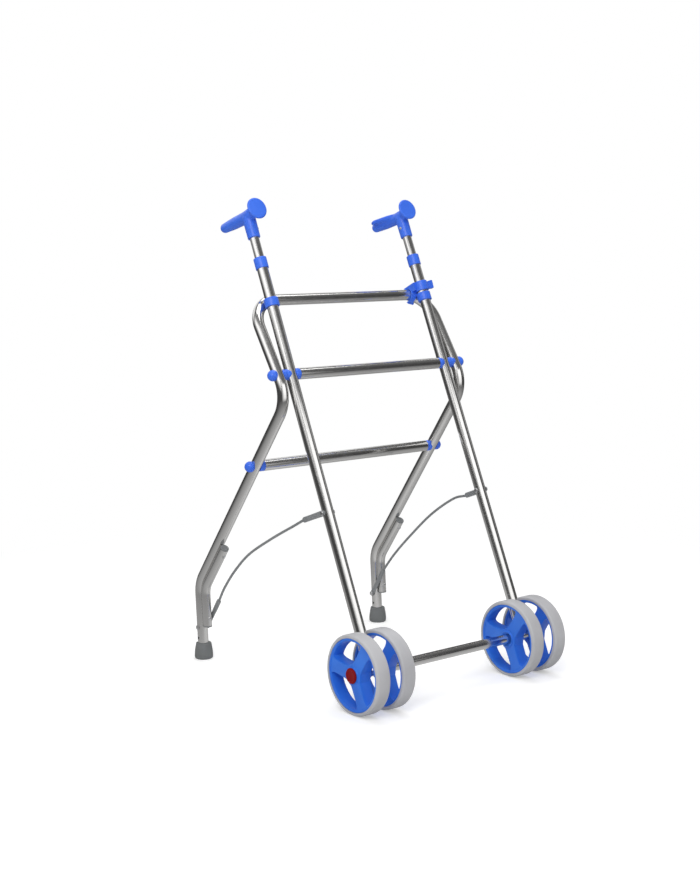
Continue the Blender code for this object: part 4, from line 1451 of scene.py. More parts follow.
@dataclass
class CrossBars(SubAssembly):
    """The middle and lower bars and the pieces that hold them."""

    inset: float = 6.5
    sides: int = 56
    hollow_half: float = 40.0
    hollow_sides: int = 64
    edge: float = 0.5
    plug_deep: float = 22.0
    plug_past: float = 6.0
    washer_r: float = 10.4
    washer_in: float = 5.0
    pivot_reach: float = 12.2
    lower_reach: float = 13.0
    cap_r: float = 10.8
    cap_low: float = -30.0
    cap_step: float = 5.0
    cap_steps: int = 24
    cap_bore_r: float = 5.6
    cap_bore_in: float = 4.0
    cap_bore_out: float = 5.0
    cap_bore_sides: int = 32
    bolt_in: float = 20.0
    bolt_sides: int = 32
    bolt_soft: float = 0.4
    head_in: float = 0.5
    head: Profile = ((5.0, 0.0), (5.0, 2.6), (3.8, 4.0), (0.0, 4.0))

    def bar(self, node: str, body: str, middle: Vector, half: float) -> None:
        """A cross bar."""
        path = divided(middle - X * half, middle + X * half, PLAN.straight_pitch)
        self.shop.tube(node, body, path, PLAN.tube_r, self.sides)

    def seated(self, node: str, piece: Piece, hold: Hold) -> None:
        """Hollows a fitting to sit on its tube, breaks its edges and dresses it.

        Args:
            node: the node that it stands for.
            piece: the fitting.
            hold: where it sits.
        """
        reach = hold.along * self.hollow_half
        cut(piece, rod(hold.point - reach, hold.point + reach, PLAN.seat, self.hollow_sides))
        self.shop.dress(broken_edges(piece, self.edge), hold.body, Finish.BLUE, node)

    def saddle(self, node: str, hold: Hold, bar_end: float) -> None:
        """The plug of a bar's end, hollowed for the tube that it is bolted to.

        Args:
            node: the node that it stands for.
            hold: where it sits.
            bar_end: distance of the bar's end from the middle.
        """
        plug, wide, bore = PLAN.bore - PLAN.gap, PLAN.tube_r, PLAN.bolt_r + PLAN.gap
        stop = abs(hold.point.x) - self.plug_past - bar_end
        profile = [(bore, -self.plug_deep), (plug, -self.plug_deep), (plug, PLAN.gap), (wide, PLAN.gap)]
        profile += [(wide, stop), (bore, stop)]
        origin = Vector((hold.side.value * bar_end, *hold.point.yz))
        piece = turned(node + "_skin", profile, origin, hold.side.out, self.sides)
        self.seated(node, piece, hold)

    def washer(self, node: str, hold: Hold, aim: Vector, thick: float) -> None:
        """Half of a pivot's spacer, hollowed for its tube.

        Args:
            node: the node that it stands for.
            hold: where it sits.
            aim: direction to the other half.
            thick: thickness beyond the tube.
        """
        bore, wide = PLAN.bolt_r + PLAN.gap, self.washer_r
        back, face = self.washer_in, PLAN.tube_r + thick
        profile = [(bore, back), (wide, back), (wide, face), (bore, face)]
        self.seated(node, turned(node + "_skin", profile, hold.point, aim, self.sides), hold)

    def cap(self, node: str, hold: Hold, reach: float) -> None:
        """The domed cap over a bolt head.

        Args:
            node: the node that it stands for.
            hold: where it sits.
            reach: distance of the dome's middle from the tube's axis.
        """
        out = hold.side.out
        turns = [math.radians(self.cap_low + self.cap_step * i) for i in range(self.cap_steps)]
        dome = [(self.cap_r * math.cos(a), reach + self.cap_r * math.sin(a)) for a in turns]
        profile = [(0.0, dome[0][1]), *dome, (0.0, reach + self.cap_r)]
        piece = turned(node + "_skin", profile, hold.point, out, self.sides)
        low, high = (hold.point + out * far for far in (self.cap_bore_in, PLAN.tube_r + self.cap_bore_out))
        cut(piece, rod(low, high, self.cap_bore_r, self.cap_bore_sides))
        self.seated(node, piece, hold)

    def bolt(self, node: str, body: str, hold: Hold, bar_end: float) -> None:
        """A bolt from under its cap to the bar's plug.

        Args:
            node: the node that it stands for.
            body: the body that it moves with.
            hold: where its cap sits.
            bar_end: distance of the bar's end from the middle.
        """
        head, radius = PLAN.tube_r + self.head_in, PLAN.bolt_r
        length = abs(hold.point.x) - (bar_end - self.bolt_in)
        profile = [(0.0, -length), (radius, -length), (radius, head)]
        profile = eased([*profile, *((r, head + high) for r, high in self.head)], self.bolt_soft)
        self.shop.lathed(node, body, Finish.STEEL, profile, hold.point, hold.side.out, self.bolt_sides)

    def build(self) -> None:
        """Builds both bars with their ends."""
        bar_end = PLAN.front_x - PLAN.tube_r - self.inset
        self.bar("middle_bar", "front_frame", PLAN.pivot, bar_end)
        half = (PLAN.side_x - PLAN.front_x - 2.0 * PLAN.tube_r - PLAN.gap) / 2.0
        lower_z = PLAN.lower_bar[1]
        lower_end = abs(PLAN.leg_at(Side.LEFT, lower_z).x) - PLAN.tube_r - self.inset
        self.bar("lower_bar", "rear_frame", Vector((0.0, *PLAN.lower_bar)), lower_end)
        for side in Side:
            word = side.word
            front = Hold(side, "front_frame", PLAN.on_front(side, PLAN.pivot_s), PLAN.up)
            rear = Hold(side, "rear_frame", PLAN.pivot + side.out * PLAN.side_x, PLAN.upper_dir)
            leg = Hold(side, "rear_frame", PLAN.leg_at(side, lower_z), PLAN.leg_dir(side))
            self.saddle(f"middle_saddle_{word}", front, bar_end)
            self.washer(f"pivot_washer_front_{word}", front, side.out, half)
            self.washer(f"pivot_washer_rear_{word}", rear, -side.out, half)
            self.cap(f"pivot_cap_{word}", rear, self.pivot_reach)
            self.bolt(f"pivot_bolt_{word}", "front_frame", rear, bar_end)
            self.saddle(f"lower_saddle_{word}", leg, lower_end)
            self.cap(f"lower_cap_{word}", leg, self.lower_reach)
            self.bolt(f"lower_bolt_{word}", "rear_frame", leg, lower_end)


@dataclass
class Handle(SubAssembly):
    """One sliding handle: its tube, its moulded grip and its screw."""

    side: Side
    low_s: float = 652.0
    top_s: float = 892.0
    grip_s: float = 909.4
    # Places fore, up and inwards, and a half size
    bar: Stops = (
        (14.0, -3.0, 0.0, 11.0), (10.0, -3.5, 0.0, 12.0), (-10.0, -3.0, 0.0, 12.4),
        (-50.0, 3.0, 0.0, 11.8), (-82.0, 8.0, 0.0, 9.8),
    )
    bar_pitch: float = 3.0
    wing: Stops = (
        (-18.0, 2.0, 3.0, 8.0), (-34.0, 6.0, 7.0, 7.5), (-66.0, 13.0, 14.0, 5.0),
    )
    wing_pitch: float = 2.0
    wing_long: float = 10.0
    wing_wide: float = 8.5
    ball_rings: int = 14
    ball_sides: int = 24
    disc_in: float = 3.5
    disc_soft: float = 1.0
    disc_sides: int = 96
    disc: Profile = (
        (0.0, 23.5), (18.6, 24.6), (21.2, 26.0), (22.0, 28.0), (21.4, 30.0), (19.6, 30.9), (0.0, 31.0),
    )
    socket_low: float = -50.5
    socket_spare: float = 2.0
    socket_soft: float = 1.2
    socket_foot: Profile = ((11.5, -2.0), (12.5, 1.6))
    socket_head: Profile = ((13.0, -6.0), (10.0, 2.0), (0.0, 4.0))
    corner_steps: int = 4
    voxel: float = 0.8
    smoothing: int = 18
    trim: float = 40.0
    bore_low: float = 9.0
    bore_past: float = 1.0
    sharp: float = 60.0
    screw_at: tuple[float, float, float] = (2.0, -31.0, 12.35)
    screw_soft: float = 0.25
    screw_head: Profile = (
        (0.0, -2.0), (3.1, -2.0), (3.1, 0.3), (2.4, 1.0), (1.2, 1.1), (1.0, 0.3), (0.0, 0.3),
    )

    @property
    def body(self) -> str:
        """The body that the handle's pieces move with."""
        return f"handle_{self.side.word}"

    @property
    def base(self) -> Vector:
        """Where the grip's own axes start."""
        return PLAN.on_front(self.side, self.grip_s)

    def place(self, fore: float, rise: float, inside: float) -> Vector:
        """A point of the grip."""
        return self.base + PLAN.fore * fore + PLAN.up * rise - self.side.out * inside

    def ball(self, centre: Vector, sizes: Sequence[float]) -> tuple[Path, list[Face]]:
        """An ellipsoid of the grip's soft shape.

        Args:
            centre: its middle.
            sizes: half sizes fore, up and inwards.

        Returns:
            Its points and faces.
        """
        rings, count = self.ball_rings, self.ball_sides
        axes = (PLAN.fore, PLAN.up, -self.side.out)
        points, faces = [], []
        for i in range(1, rings):
            a = math.pi * i / rings
            for k in range(count):
                b = 2.0 * math.pi * k / count
                parts = (math.sin(a) * math.cos(b), math.sin(a) * math.sin(b), -math.cos(a))
                points.append(centre + sum((axes[n] * (sizes[n] * parts[n]) for n in range(3)), Vector()))
        for i in range(rings - 2):
            faces += strips(i * count, (i + 1) * count, count)
        points += [centre - axes[2] * sizes[2], centre + axes[2] * sizes[2]]
        last = (rings - 2) * count
        for k in range(count):
            j = (k + 1) % count
            faces.append((len(points) - 2, j, k))
            faces.append((len(points) - 1, last + k, last + j))
        return points, faces

    @staticmethod
    def chain(stops: Stops, pitch: float) -> list[tuple[float, ...]]:
        """Fills in a row of stops.

        Args:
            stops: place and size of each stop.
            pitch: about how far apart the results lie.

        Returns:
            The stops with even steps between each pair.
        """
        out = []
        for a, b in zip(stops, stops[1:]):
            count = math.ceil(math.dist(a[:3], b[:3]) / pitch)
            out += [tuple(p + (q - p) * i / count for p, q in zip(a, b)) for i in range(count)]
        return out + [stops[-1]]

    def soft_shape(self) -> Piece:
        """The bar and the palm rest, as rows of overlapping ellipsoids.

        Returns:
            The object, with all their points.
        """
        parts = []
        for *spot, size in self.chain(self.bar, self.bar_pitch):
            parts.append(self.ball(self.place(*spot), (size, size, size)))
        for *spot, thick in self.chain(self.wing, self.wing_pitch):
            parts.append(self.ball(self.place(*spot), (self.wing_long, thick, self.wing_wide)))
        points, faces = [], []
        for more_points, more_faces in parts:
            first = len(points)
            points += more_points
            faces += [tuple(first + i for i in face) for face in more_faces]
        return new_object(f"handle_grip_{self.side.word}_skin", points, faces)

    def fused(self, pieces: Sequence[Piece]) -> Piece:
        """Fuses overlapping shapes, with soft joints between them.

        Args:
            pieces: the shapes.

        Returns:
            The first of them, with the rest fused in.
        """
        body = pieces[0]
        work = bmesh.new()
        for piece in pieces:
            work.from_mesh(piece.data)
        work.to_mesh(body.data)
        work.free()
        for piece in pieces[1:]:
            bpy.data.objects.remove(piece)
        remesh = body.modifiers.new("fuse", "REMESH")
        remesh.mode = "VOXEL"
        remesh.voxel_size = self.voxel
        smooth = body.modifiers.new("soften", "SMOOTH")
        smooth.iterations = self.smoothing
        return applied(body)

    def grip(self) -> None:
        """The moulded grip: socket, bar with a flat front disc, and a palm rest on the inner side."""
        low = self.socket_low
        outline = [(0.0, low - self.socket_spare), *((r, low + high) for r, high in self.socket_foot)]
        outline = eased([*outline, *self.socket_head], self.socket_soft, self.corner_steps)
        face = eased(self.disc, self.disc_soft, self.corner_steps)
        shape = self.soft_shape()
        front = turned("disc", face, self.place(0.0, 0.0, self.disc_in), PLAN.fore, self.disc_sides)
        body = self.fused([shape, front, turned("socket", outline, self.base, PLAN.up)])
        foot = self.base + PLAN.up * low
        cut(body, below(foot, self.trim, self.trim, PLAN.gap))
        top = self.base + PLAN.up * (self.top_s - self.grip_s + self.bore_past)
        cut(body, rod(foot - PLAN.up * self.bore_low, top, PLAN.handle_r + PLAN.gap))
        self.shop.dress(body, self.body, Finish.BLUE, f"handle_grip_{self.side.word}", sharp=self.sharp)

    def build(self) -> None:
        """Builds the handle."""
        word = self.side.word
        start, end = (PLAN.on_front(self.side, s) for s in (self.low_s, self.top_s))
        path = divided(start, end, PLAN.straight_pitch)
        self.shop.tube(f"handle_tube_{word}", self.body, path, PLAN.handle_r)
        self.grip()
        spot = (self.place(*self.screw_at), -self.side.out)
        self.shop.heads(f"grip_screw_{word}", self.body, [spot], eased(self.screw_head, self.screw_soft))


@dataclass
class Collars(SubAssembly):
    """The twist collars, the rest collars and the clip on the front tubes."""

    sides: int = 72
    soft: float = 0.9
    edge: float = 0.35
    edge_limit: float = 50.0
    twist_s: float = 805.7
    twist_half: float = 11.0
    twist_r: float = 12.8
    twist_past: float = 0.5
    rest_s: float = 724.3
    rest_half: float = 8.5
    rest_r: float = 14.3
    rest_bar: tuple[float, float] = (150.0, 222.0)
    rest_play: float = 0.5
    clip_s: float = 747.0
    clip_half: float = 10.0
    clip_r: float = 14.1
    clip_sharp: float = 45.0
    jaw_x: tuple[float, float] = (176.0, 188.0)
    jaw_bore: float = 11.9
    jaw_r: float = 15.6
    jaw_back: float = 4.6
    jaw_sides: int = 64
    web_past: float = 2.0
    web_low: float = 0.5
    web_below_bead: float = 0.9
    web_below_ring: float = 0.2
    web_in: tuple[float, float] = (1.0, 0.6)
    bead_r: float = 3.0
    bead_rise: float = 14.2
    bead_sides: int = 24
    bead_past: tuple[float, float] = (9.0, 22.0)
    back_far: float = 40.0
    back_x: tuple[float, float] = (-5.0, 30.0)
    way_turn: float = math.radians(-2.0)
    fold_ways: int = 5
    fold_past: tuple[float, float] = (10.0, 12.0)
    swing_ways: int = 16
    swing_bar: tuple[float, float] = (140.0, 218.0)
    rest_room: tuple[float, float, float] = (-40.0, 8.9, 14.9)
    tube_room: float = 60.0
    tab_half: float = 3.5
    tab: Profile = ((12.6, -5.0), (31.0, -4.0), (32.0, 12.5), (28.0, 13.0), (12.6, 9.0))

    def ring(self, name: str, side: Side, s: float, half: float, radius: float) -> Piece:
        """A plain ring round a front tube, with its middle at s."""
        profile = [(PLAN.seat, -half), (radius, -half), (radius, half), (PLAN.seat, half)]
        return turned(name, eased(profile, self.soft), PLAN.on_front(side, s), PLAN.up, self.sides)

    def twist(self, side: Side) -> None:
        """A twist collar on a front tube's top end.

        Args:
            side: which tube.
        """
        top = PLAN.front_top_s - self.twist_s + self.twist_past
        bore, lip = PLAN.seat, PLAN.handle_r + PLAN.gap
        half, wide = self.twist_half, self.twist_r
        profile = [(bore, -half), (wide, -half), (wide, half), (lip, half), (lip, top), (bore, top)]
        node, middle = f"height_collar_{side.word}", PLAN.on_front(side, self.twist_s)
        outline = eased(profile, self.soft)
        self.shop.lathed(node, f"collar_{side.word}", Finish.BLUE, outline, middle, PLAN.up, self.sides)

    def rest(self, side: Side) -> None:
        """A ring that the top bar rests on.

        Args:
            side: which tube.
        """
        node = f"rest_collar_{side.word}"
        piece = self.ring(node + "_skin", side, self.rest_s, self.rest_half, self.rest_r)
        cut(piece, swept("bar", PLAN.bar_bend(side, *self.rest_bar), PLAN.tube_r + self.rest_play))
        broken_edges(piece, self.edge, self.edge_limit)
        self.shop.dress(piece, "front_frame", Finish.BLUE, node)

    def bead(self, low: float, high: float, rise: float) -> Piece:
        """A round bead along one lip of the jaw."""
        path = PLAN.bar_bend(Side.LEFT, low, high, -self.jaw_back, rise)
        return swept("bead", path, self.bead_r, count=self.bead_sides)

    def jaw_block(self) -> Piece:
        """The jaw before it is hollowed, open at the back, with beaded lips and a web to the ring.

        Returns:
            The block.
        """
        low, high = self.jaw_x
        axes = (PLAN.fore, PLAN.up, X)
        jaw = swept("jaw", PLAN.bar_bend(Side.LEFT, low, high), self.jaw_r, count=self.jaw_sides)
        rear, front = -self.jaw_back - self.web_past, PLAN.top_bar_back
        ring_top = self.clip_s - PLAN.top_bar_s + self.clip_half - self.web_below_ring
        web = [(rear, self.bead_rise + self.bead_r - self.web_below_bead), (rear, self.web_low)]
        web += [(front, self.web_low), (front, ring_top)]
        join(jaw, prism("web", web, PLAN.top_bar, axes, low + self.web_in[0], high - self.web_in[1]))
        far = self.back_far
        behind = [(-far, -far), (-self.jaw_back, -far), (-self.jaw_back, far), (-far, far)]
        back = prism("back", behind, PLAN.top_bar + X * low, axes, *self.back_x)
        for rise in (self.bead_rise, -self.bead_rise):
            join(jaw, self.bead(low, high, rise))
            cut(back, self.bead(low - self.bead_past[0], high + self.bead_past[1], rise))
        return cut(jaw, back)

    def bar_way(self, pivot: Vector, turn: Matrix, span: tuple[float, float], radius: float) -> Piece:
        """The room that a stretch of the top bar takes up after a turn against the clip."""
        way = [pivot + turn @ (p - pivot) for p in PLAN.bar_bend(Side.LEFT, *span)]
        return swept("way", way, radius, count=self.jaw_sides)

    def jaw(self) -> Piece:
        """The clip's jaw over the top bar, hollowed for the fold and for its own swing.

        Returns:
            The jaw.
        """
        left, jaw = Side.LEFT, self.jaw_block()
        span = (self.jaw_x[0] - self.fold_past[0], self.jaw_x[1] + self.fold_past[1])
        for step in range(self.fold_ways):
            turn = Matrix.Rotation(self.way_turn * step, 4, "X")
            cut(jaw, self.bar_way(PLAN.pivot, turn, span, self.jaw_bore))
        middle = PLAN.on_front(left, self.clip_s)
        for step in range(1, self.swing_ways + 1):
            turn = Matrix.Rotation(self.way_turn * step, 4, PLAN.up)
            cut(jaw, self.bar_way(middle, turn, self.swing_bar, self.jaw_bore - PLAN.gap))
        low, high, radius = self.rest_room
        cut(jaw, rod(PLAN.on_front(left, self.rest_s + low), PLAN.on_front(left, self.rest_s + high), radius))
        low, high = (PLAN.on_front(left, self.clip_s + s) for s in (-self.tube_room, self.tube_room))
        return cut(jaw, rod(low, high, PLAN.seat))

    def clip(self) -> None:
        """The clip on the left tube: ring, jaw over the top bar, and thumb tab."""
        body = self.ring("latch_clip_skin", Side.LEFT, self.clip_s, self.clip_half, self.clip_r)
        jaw = self.jaw()
        axes = (X, PLAN.up, PLAN.fore)
        middle = PLAN.on_front(Side.LEFT, self.clip_s)
        join(body, jaw, prism("tab", self.tab, middle, axes, -self.tab_half, self.tab_half))
        broken_edges(body, self.edge, self.edge_limit)
        self.shop.dress(body, "latch", Finish.BLUE, "latch_clip", sharp=self.clip_sharp)

    def build(self) -> None:
        """Builds the collars and the clip."""
        for side in Side:
            self.twist(side)
        for side in Side:
            self.rest(side)
        self.clip()


@dataclass
class Wheel(SubAssembly):
    """One front wheel: a hub with three broad spokes, and its tyre."""

    side: Side
    berth: Berth
    half_pitch: float = 29.9
    bore_gap: float = 0.4
    rim_r: float = 68.0
    rim_half: float = 14.0
    hub_inside: Profile = ((15.0, -18.4), (16.0, -12.0), (64.0, -12.0), (64.0, -14.0))
    hub_outside: Profile = (
        (64.0, 14.0), (64.0, 12.5), (16.4, 12.5), (15.6, 15.0), (13.0, 15.0), (13.0, 12.0),
    )
    hub_soft: float = 0.6
    hub_sides: int = 128
    hub_edge: float = 0.7
    hub_edge_limit: float = 50.0
    spokes: tuple[float, float, float] = (55.0, 172.0, 294.0)
    spoke_half: float = 12.4
    flare_out: float = 4.0
    flare_in: float = 0.8
    pocket_high: float = 62.6
    pocket_low: float = 21.6
    pocket_half: float = 20.0
    edge_steps: int = 20
    arc_steps: int = 24
    tread_r: float = 75.0
    tyre_half: float = 15.0
    shoulder_r: float = 71.0
    shoulder_high: float = 5.0
    shoulder_steps: int = 8
    tyre_sides: int = 144
    tyre_sharp: float = 50.0

    @property
    def body(self) -> str:
        """The body that the wheel's pieces move with."""
        return f"wheel_{self.berth.value}_{self.side.word}"

    @property
    def axis(self) -> Vector:
        """The wheel's axis, away from the front tube."""
        return self.side.out if self.berth is Berth.OUTER else -self.side.out

    @property
    def centre(self) -> Vector:
        """The wheel's middle."""
        return PLAN.on_front(self.side, 0.0) + self.axis * self.half_pitch

    def half_width(self, radius: float) -> float:
        """Half width of a spoke, which flares at both ends.

        Args:
            radius: distance from the wheel's axis.

        Returns:
            The half width there.
        """
        middle = (self.pocket_low + self.pocket_high) / 2.0
        part = (radius - middle) / (self.pocket_high - middle)
        return self.spoke_half + (self.flare_out * part**4 if part > 0.0 else self.flare_in * part**2)

    def pocket(self, first: float, second: float) -> Profile:
        """Outline of the opening between two spokes.

        Args:
            first: angle of the first spoke, in degrees.
            second: angle of the second spoke.

        Returns:
            Points square to the wheel's axis.
        """
        span = (second - first) % 360.0
        high, low = self.pocket_high, self.pocket_low
        radii = [high + (low - high) * i / self.edge_steps for i in range(self.edge_steps + 1)]
        edge = [(r, math.degrees(math.asin(self.half_width(r) / r))) for r in radii]
        points = edge + [(r, span - a) for r, a in reversed(edge)]
        start, stop = points[-1][1], points[0][1]
        points += [(high, start + (stop - start) * i / self.arc_steps) for i in range(1, self.arc_steps)]
        turns = [(r, math.radians(first + a)) for r, a in points]
        return [(r * math.cos(a), r * math.sin(a)) for r, a in turns]

    def hub(self) -> None:
        """The hub, cut through between its spokes."""
        node = f"wheel_hub_{self.berth.value}_{self.side.word}"
        bore = PLAN.axle_r + self.bore_gap
        profile = [(bore, self.hub_inside[0][1]), *self.hub_inside, (self.rim_r, -self.rim_half)]
        profile += [(self.rim_r, self.rim_half), *self.hub_outside, (bore, self.hub_outside[-1][1])]
        hub = turned(node + "_skin", eased(profile, self.hub_soft), self.centre, self.axis, self.hub_sides)
        axes, half = (-Y, Z, self.axis), self.pocket_half
        for first, second in zip(self.spokes, self.spokes[1:] + self.spokes[:1]):
            cut(hub, prism("pocket", self.pocket(first, second), self.centre, axes, -half, half))
        broken_edges(hub, self.hub_edge, self.hub_edge_limit)
        # The hub's finish is the blue plastic with a greener tint, its red and blue lowered as painted shade.
        self.shop.dress(hub, self.body, Finish.HUB, node)

    def tyre(self) -> None:
        """The tyre, with round shoulders."""
        bore, edge = PLAN.gap + self.rim_r, self.tyre_half
        wide, high = self.tread_r - self.shoulder_r, self.shoulder_high
        profile = [(bore, -edge), (self.shoulder_r, -edge)]
        for i in range(self.shoulder_steps + 1):
            turn = math.radians(-90.0 + 90.0 * i / self.shoulder_steps)
            profile.append((self.shoulder_r + wide * math.cos(turn), -edge + high + high * math.sin(turn)))
        profile += [(r, -h) for r, h in reversed(profile)]
        profile = [(min(r, self.tread_r), h) for r, h in dict.fromkeys(profile)]
        node = f"tyre_{self.berth.value}_{self.side.word}"
        self.shop.lathed(
            node, self.body, Finish.TYRE, profile, self.centre, self.axis, self.tyre_sides, self.tyre_sharp
        )

    def build(self) -> None:
        """Builds the wheel."""
        self.hub()
        self.tyre()


@dataclass
class SafetyCable(SubAssembly):
    """One safety cable with its crimped sleeves and rivets."""

    side: Side
    cable_r: float = 2.5
    cable_sides: int = 20
    cable_sharp: float = 60.0
    lead: float = 1.5
    depth: float = 12.0
    steps: int = 12
    left_route: Profile = ((222.0, 318.0), (294.0, 274.0), (372.0, 210.0), (421.0, 165.0))
    right_route: Profile = ((212.0, 315.0), (277.0, 282.0), (352.0, 239.0), (402.0, 196.0), (437.0, 156.0))
    sleeve_out: float = 208.3
    sleeve_in: float = 221.2
    front_splay: float = 1.2
    rear_splay: float = 1.6
    front_end: tuple[float, float] = (180.0, 331.4)
    rear_end: tuple[float, float] = (457.0, 125.4)
    # Place along the sleeve, half width and half thickness. The neck's places are shares of the length, and
    # the mouth's are measured back from the end.
    sleeve_eye: Stops = (
        (-5.7, 1.2, 1.0), (-5.2, 2.7, 1.3), (-4.1, 4.1, 1.5), (-2.2, 5.3, 1.5), (0.0, 5.8, 1.5),
        (6.6, 5.8, 1.5),
    )
    sleeve_neck: Stops = (
        (0.3, 5.6, 1.6), (0.45, 5.4, 1.9), (0.58, 5.4, 2.8), (0.7, 5.4, 3.6), (0.85, 5.4, 3.9),
    )
    sleeve_mouth: Stops = ((1.6, 5.4, 4.0), (0.5, 5.1, 3.8), (0.0, 4.3, 3.2))
    sleeve_sides: int = 36
    sleeve_sharp: float = 50.0
    eye_half: float = 9.0
    eye_sides: int = 24
    bore_spare: float = 0.5
    bore_past: float = 5.0
    bore_sides: int = 32
    rivet_face: float = 1.8
    rivet_high: float = 2.4
    rivet_edge: float = 1.0
    rivet_head_r: float = 4.6
    rivet_crown_r: float = 3.4
    rivet_soft: float = 0.5
    rivet_sides: int = 32

    @property
    def route(self) -> Profile:
        """Points that the cable passes between its sleeves, as (y, z) pairs."""
        return self.left_route if self.side is Side.LEFT else self.right_route

    @property
    def holes(self) -> tuple[Vector, Vector]:
        """Middles of the rivet holes in the front tube and in the leg."""
        return PLAN.on_front(self.side, PLAN.cable_s), PLAN.foot_at(self.side, PLAN.cable_z)

    def at(self, x: float, y: float, z: float) -> Vector:
        """A point at distance x from the middle, on the cable's own side."""
        return Vector((self.side.value * x, y, z))

    def sleeve(self, node: str, body: str, start: Vector, end: Vector) -> None:
        """A crimped sleeve, from a flat eye to a barrel round the cable.

        Args:
            node: the node that it stands for.
            body: the body that it moves with.
            start: middle of the eye.
            end: middle of the barrel's mouth.
        """
        along = (end - start).normalized()
        flat = self.side.out
        across = flat.cross(along).normalized()
        length = (end - start).length
        stops = list(self.sleeve_eye)
        stops += [(length * share, wide, thick) for share, wide, thick in self.sleeve_neck]
        stops += [(length - before, wide, thick) for before, wide, thick in self.sleeve_mouth]
        rings = [ring(start + along * at, across, flat, *half, self.sleeve_sides) for at, *half in stops]
        piece = lofted(node + "_skin", rings)
        hole = flat * self.eye_half
        cut(piece, rod(start - hole, start + hole, PLAN.rivet_r + PLAN.gap, self.eye_sides))
        bottom, mouth = end - along * (self.depth + self.bore_spare), end + along * self.bore_past
        cut(piece, rod(bottom, mouth, self.cable_r + PLAN.gap, self.bore_sides))
        self.shop.dress(piece, body, Finish.GREY, node, sharp=self.sleeve_sharp)

    def rivet(self, node: str, body: str, start: Vector, out: Vector, outer: float) -> None:
        """A rivet through a tube and a sleeve's eye.

        Args:
            node: the node that it stands for.
            body: the body that it moves with.
            start: middle of the hole in the tube.
            out: direction from the tube to the sleeve.
            outer: distance of the outer head's seat from the tube's axis.
        """
        inner, high, edge = -PLAN.seat, self.rivet_high, self.rivet_edge
        head, crown, shank = self.rivet_head_r, self.rivet_crown_r, PLAN.rivet_r
        profile = [(0.0, inner - high), (crown, inner - high), (head, inner - high + edge), (head, inner)]
        profile += [(shank, inner), (shank, outer), (head, outer), (head, outer + high - edge)]
        profile = eased([*profile, (crown, outer + high), (0.0, outer + high)], self.rivet_soft)
        self.shop.lathed(node, body, Finish.STEEL, profile, start, out, self.rivet_sides)

    def path(self, front: Spot, rear: Spot) -> Path:
        """The cable's axis, straight inside both sleeves.

        Args:
            front: middles of the front sleeve's eye and mouth.
            rear: middles of the rear sleeve's eye and mouth.

        Returns:
            The path.
        """
        (front_eye, front_end), (rear_eye, rear_end) = front, rear
        along_front = (front_end - front_eye).normalized()
        along_rear = (rear_end - rear_eye).normalized()
        stops = [front_end + along_front * self.lead]
        for y, z in self.route:
            part = (y - front_end.y) / (rear_end.y - front_end.y)
            stops.append(Vector((front_end.x + (rear_end.x - front_end.x) * part, y, z)))
        path = smooth_curve([*stops, rear_end + along_rear * self.lead], self.steps)
        return [front_end - along_front * self.depth, *path, rear_end - along_rear * self.depth]

    def build(self) -> None:
        """Builds the cable and its ends."""
        word, (front, rear) = self.side.word, self.holes
        front_eye, rear_eye = self.at(self.sleeve_out, *front.yz), self.at(self.sleeve_in, *rear.yz)
        front_end = self.at(self.sleeve_out + self.front_splay, *self.front_end)
        rear_end = self.at(self.sleeve_in - self.rear_splay, *self.rear_end)
        self.sleeve(f"cable_sleeve_front_{word}", "front_frame", front_eye, front_end)
        self.sleeve(f"cable_sleeve_rear_{word}", "rear_frame", rear_eye, rear_end)
        outside = self.sleeve_out - PLAN.front_x + self.rivet_face
        inside = PLAN.foot_x - self.sleeve_in + self.rivet_face
        self.rivet(f"cable_rivet_front_{word}", "front_frame", front, self.side.out, outside)
        self.rivet(f"cable_rivet_rear_{word}", "rear_frame", rear, -self.side.out, inside)
        path, grey = self.path((front_eye, front_end), (rear_eye, rear_end)), self.shop.look(Finish.GREY)
        cable = self.shop.tubes.along(f"cable_{word}_skin", path, self.cable_r, grey, self.cable_sides)
        self.shop.prepare(cable, Finish.GREY, self.cable_sharp)
        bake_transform(cable)
        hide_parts(f"cable_{word}")


# Surroundings
@dataclass(frozen=True)
class Lamp:
    """A soft square lamp: where it hangs, the length of its sides, and its power in watts."""

    name: str
    place: tuple[float, float, float]
    size: float
    power: float


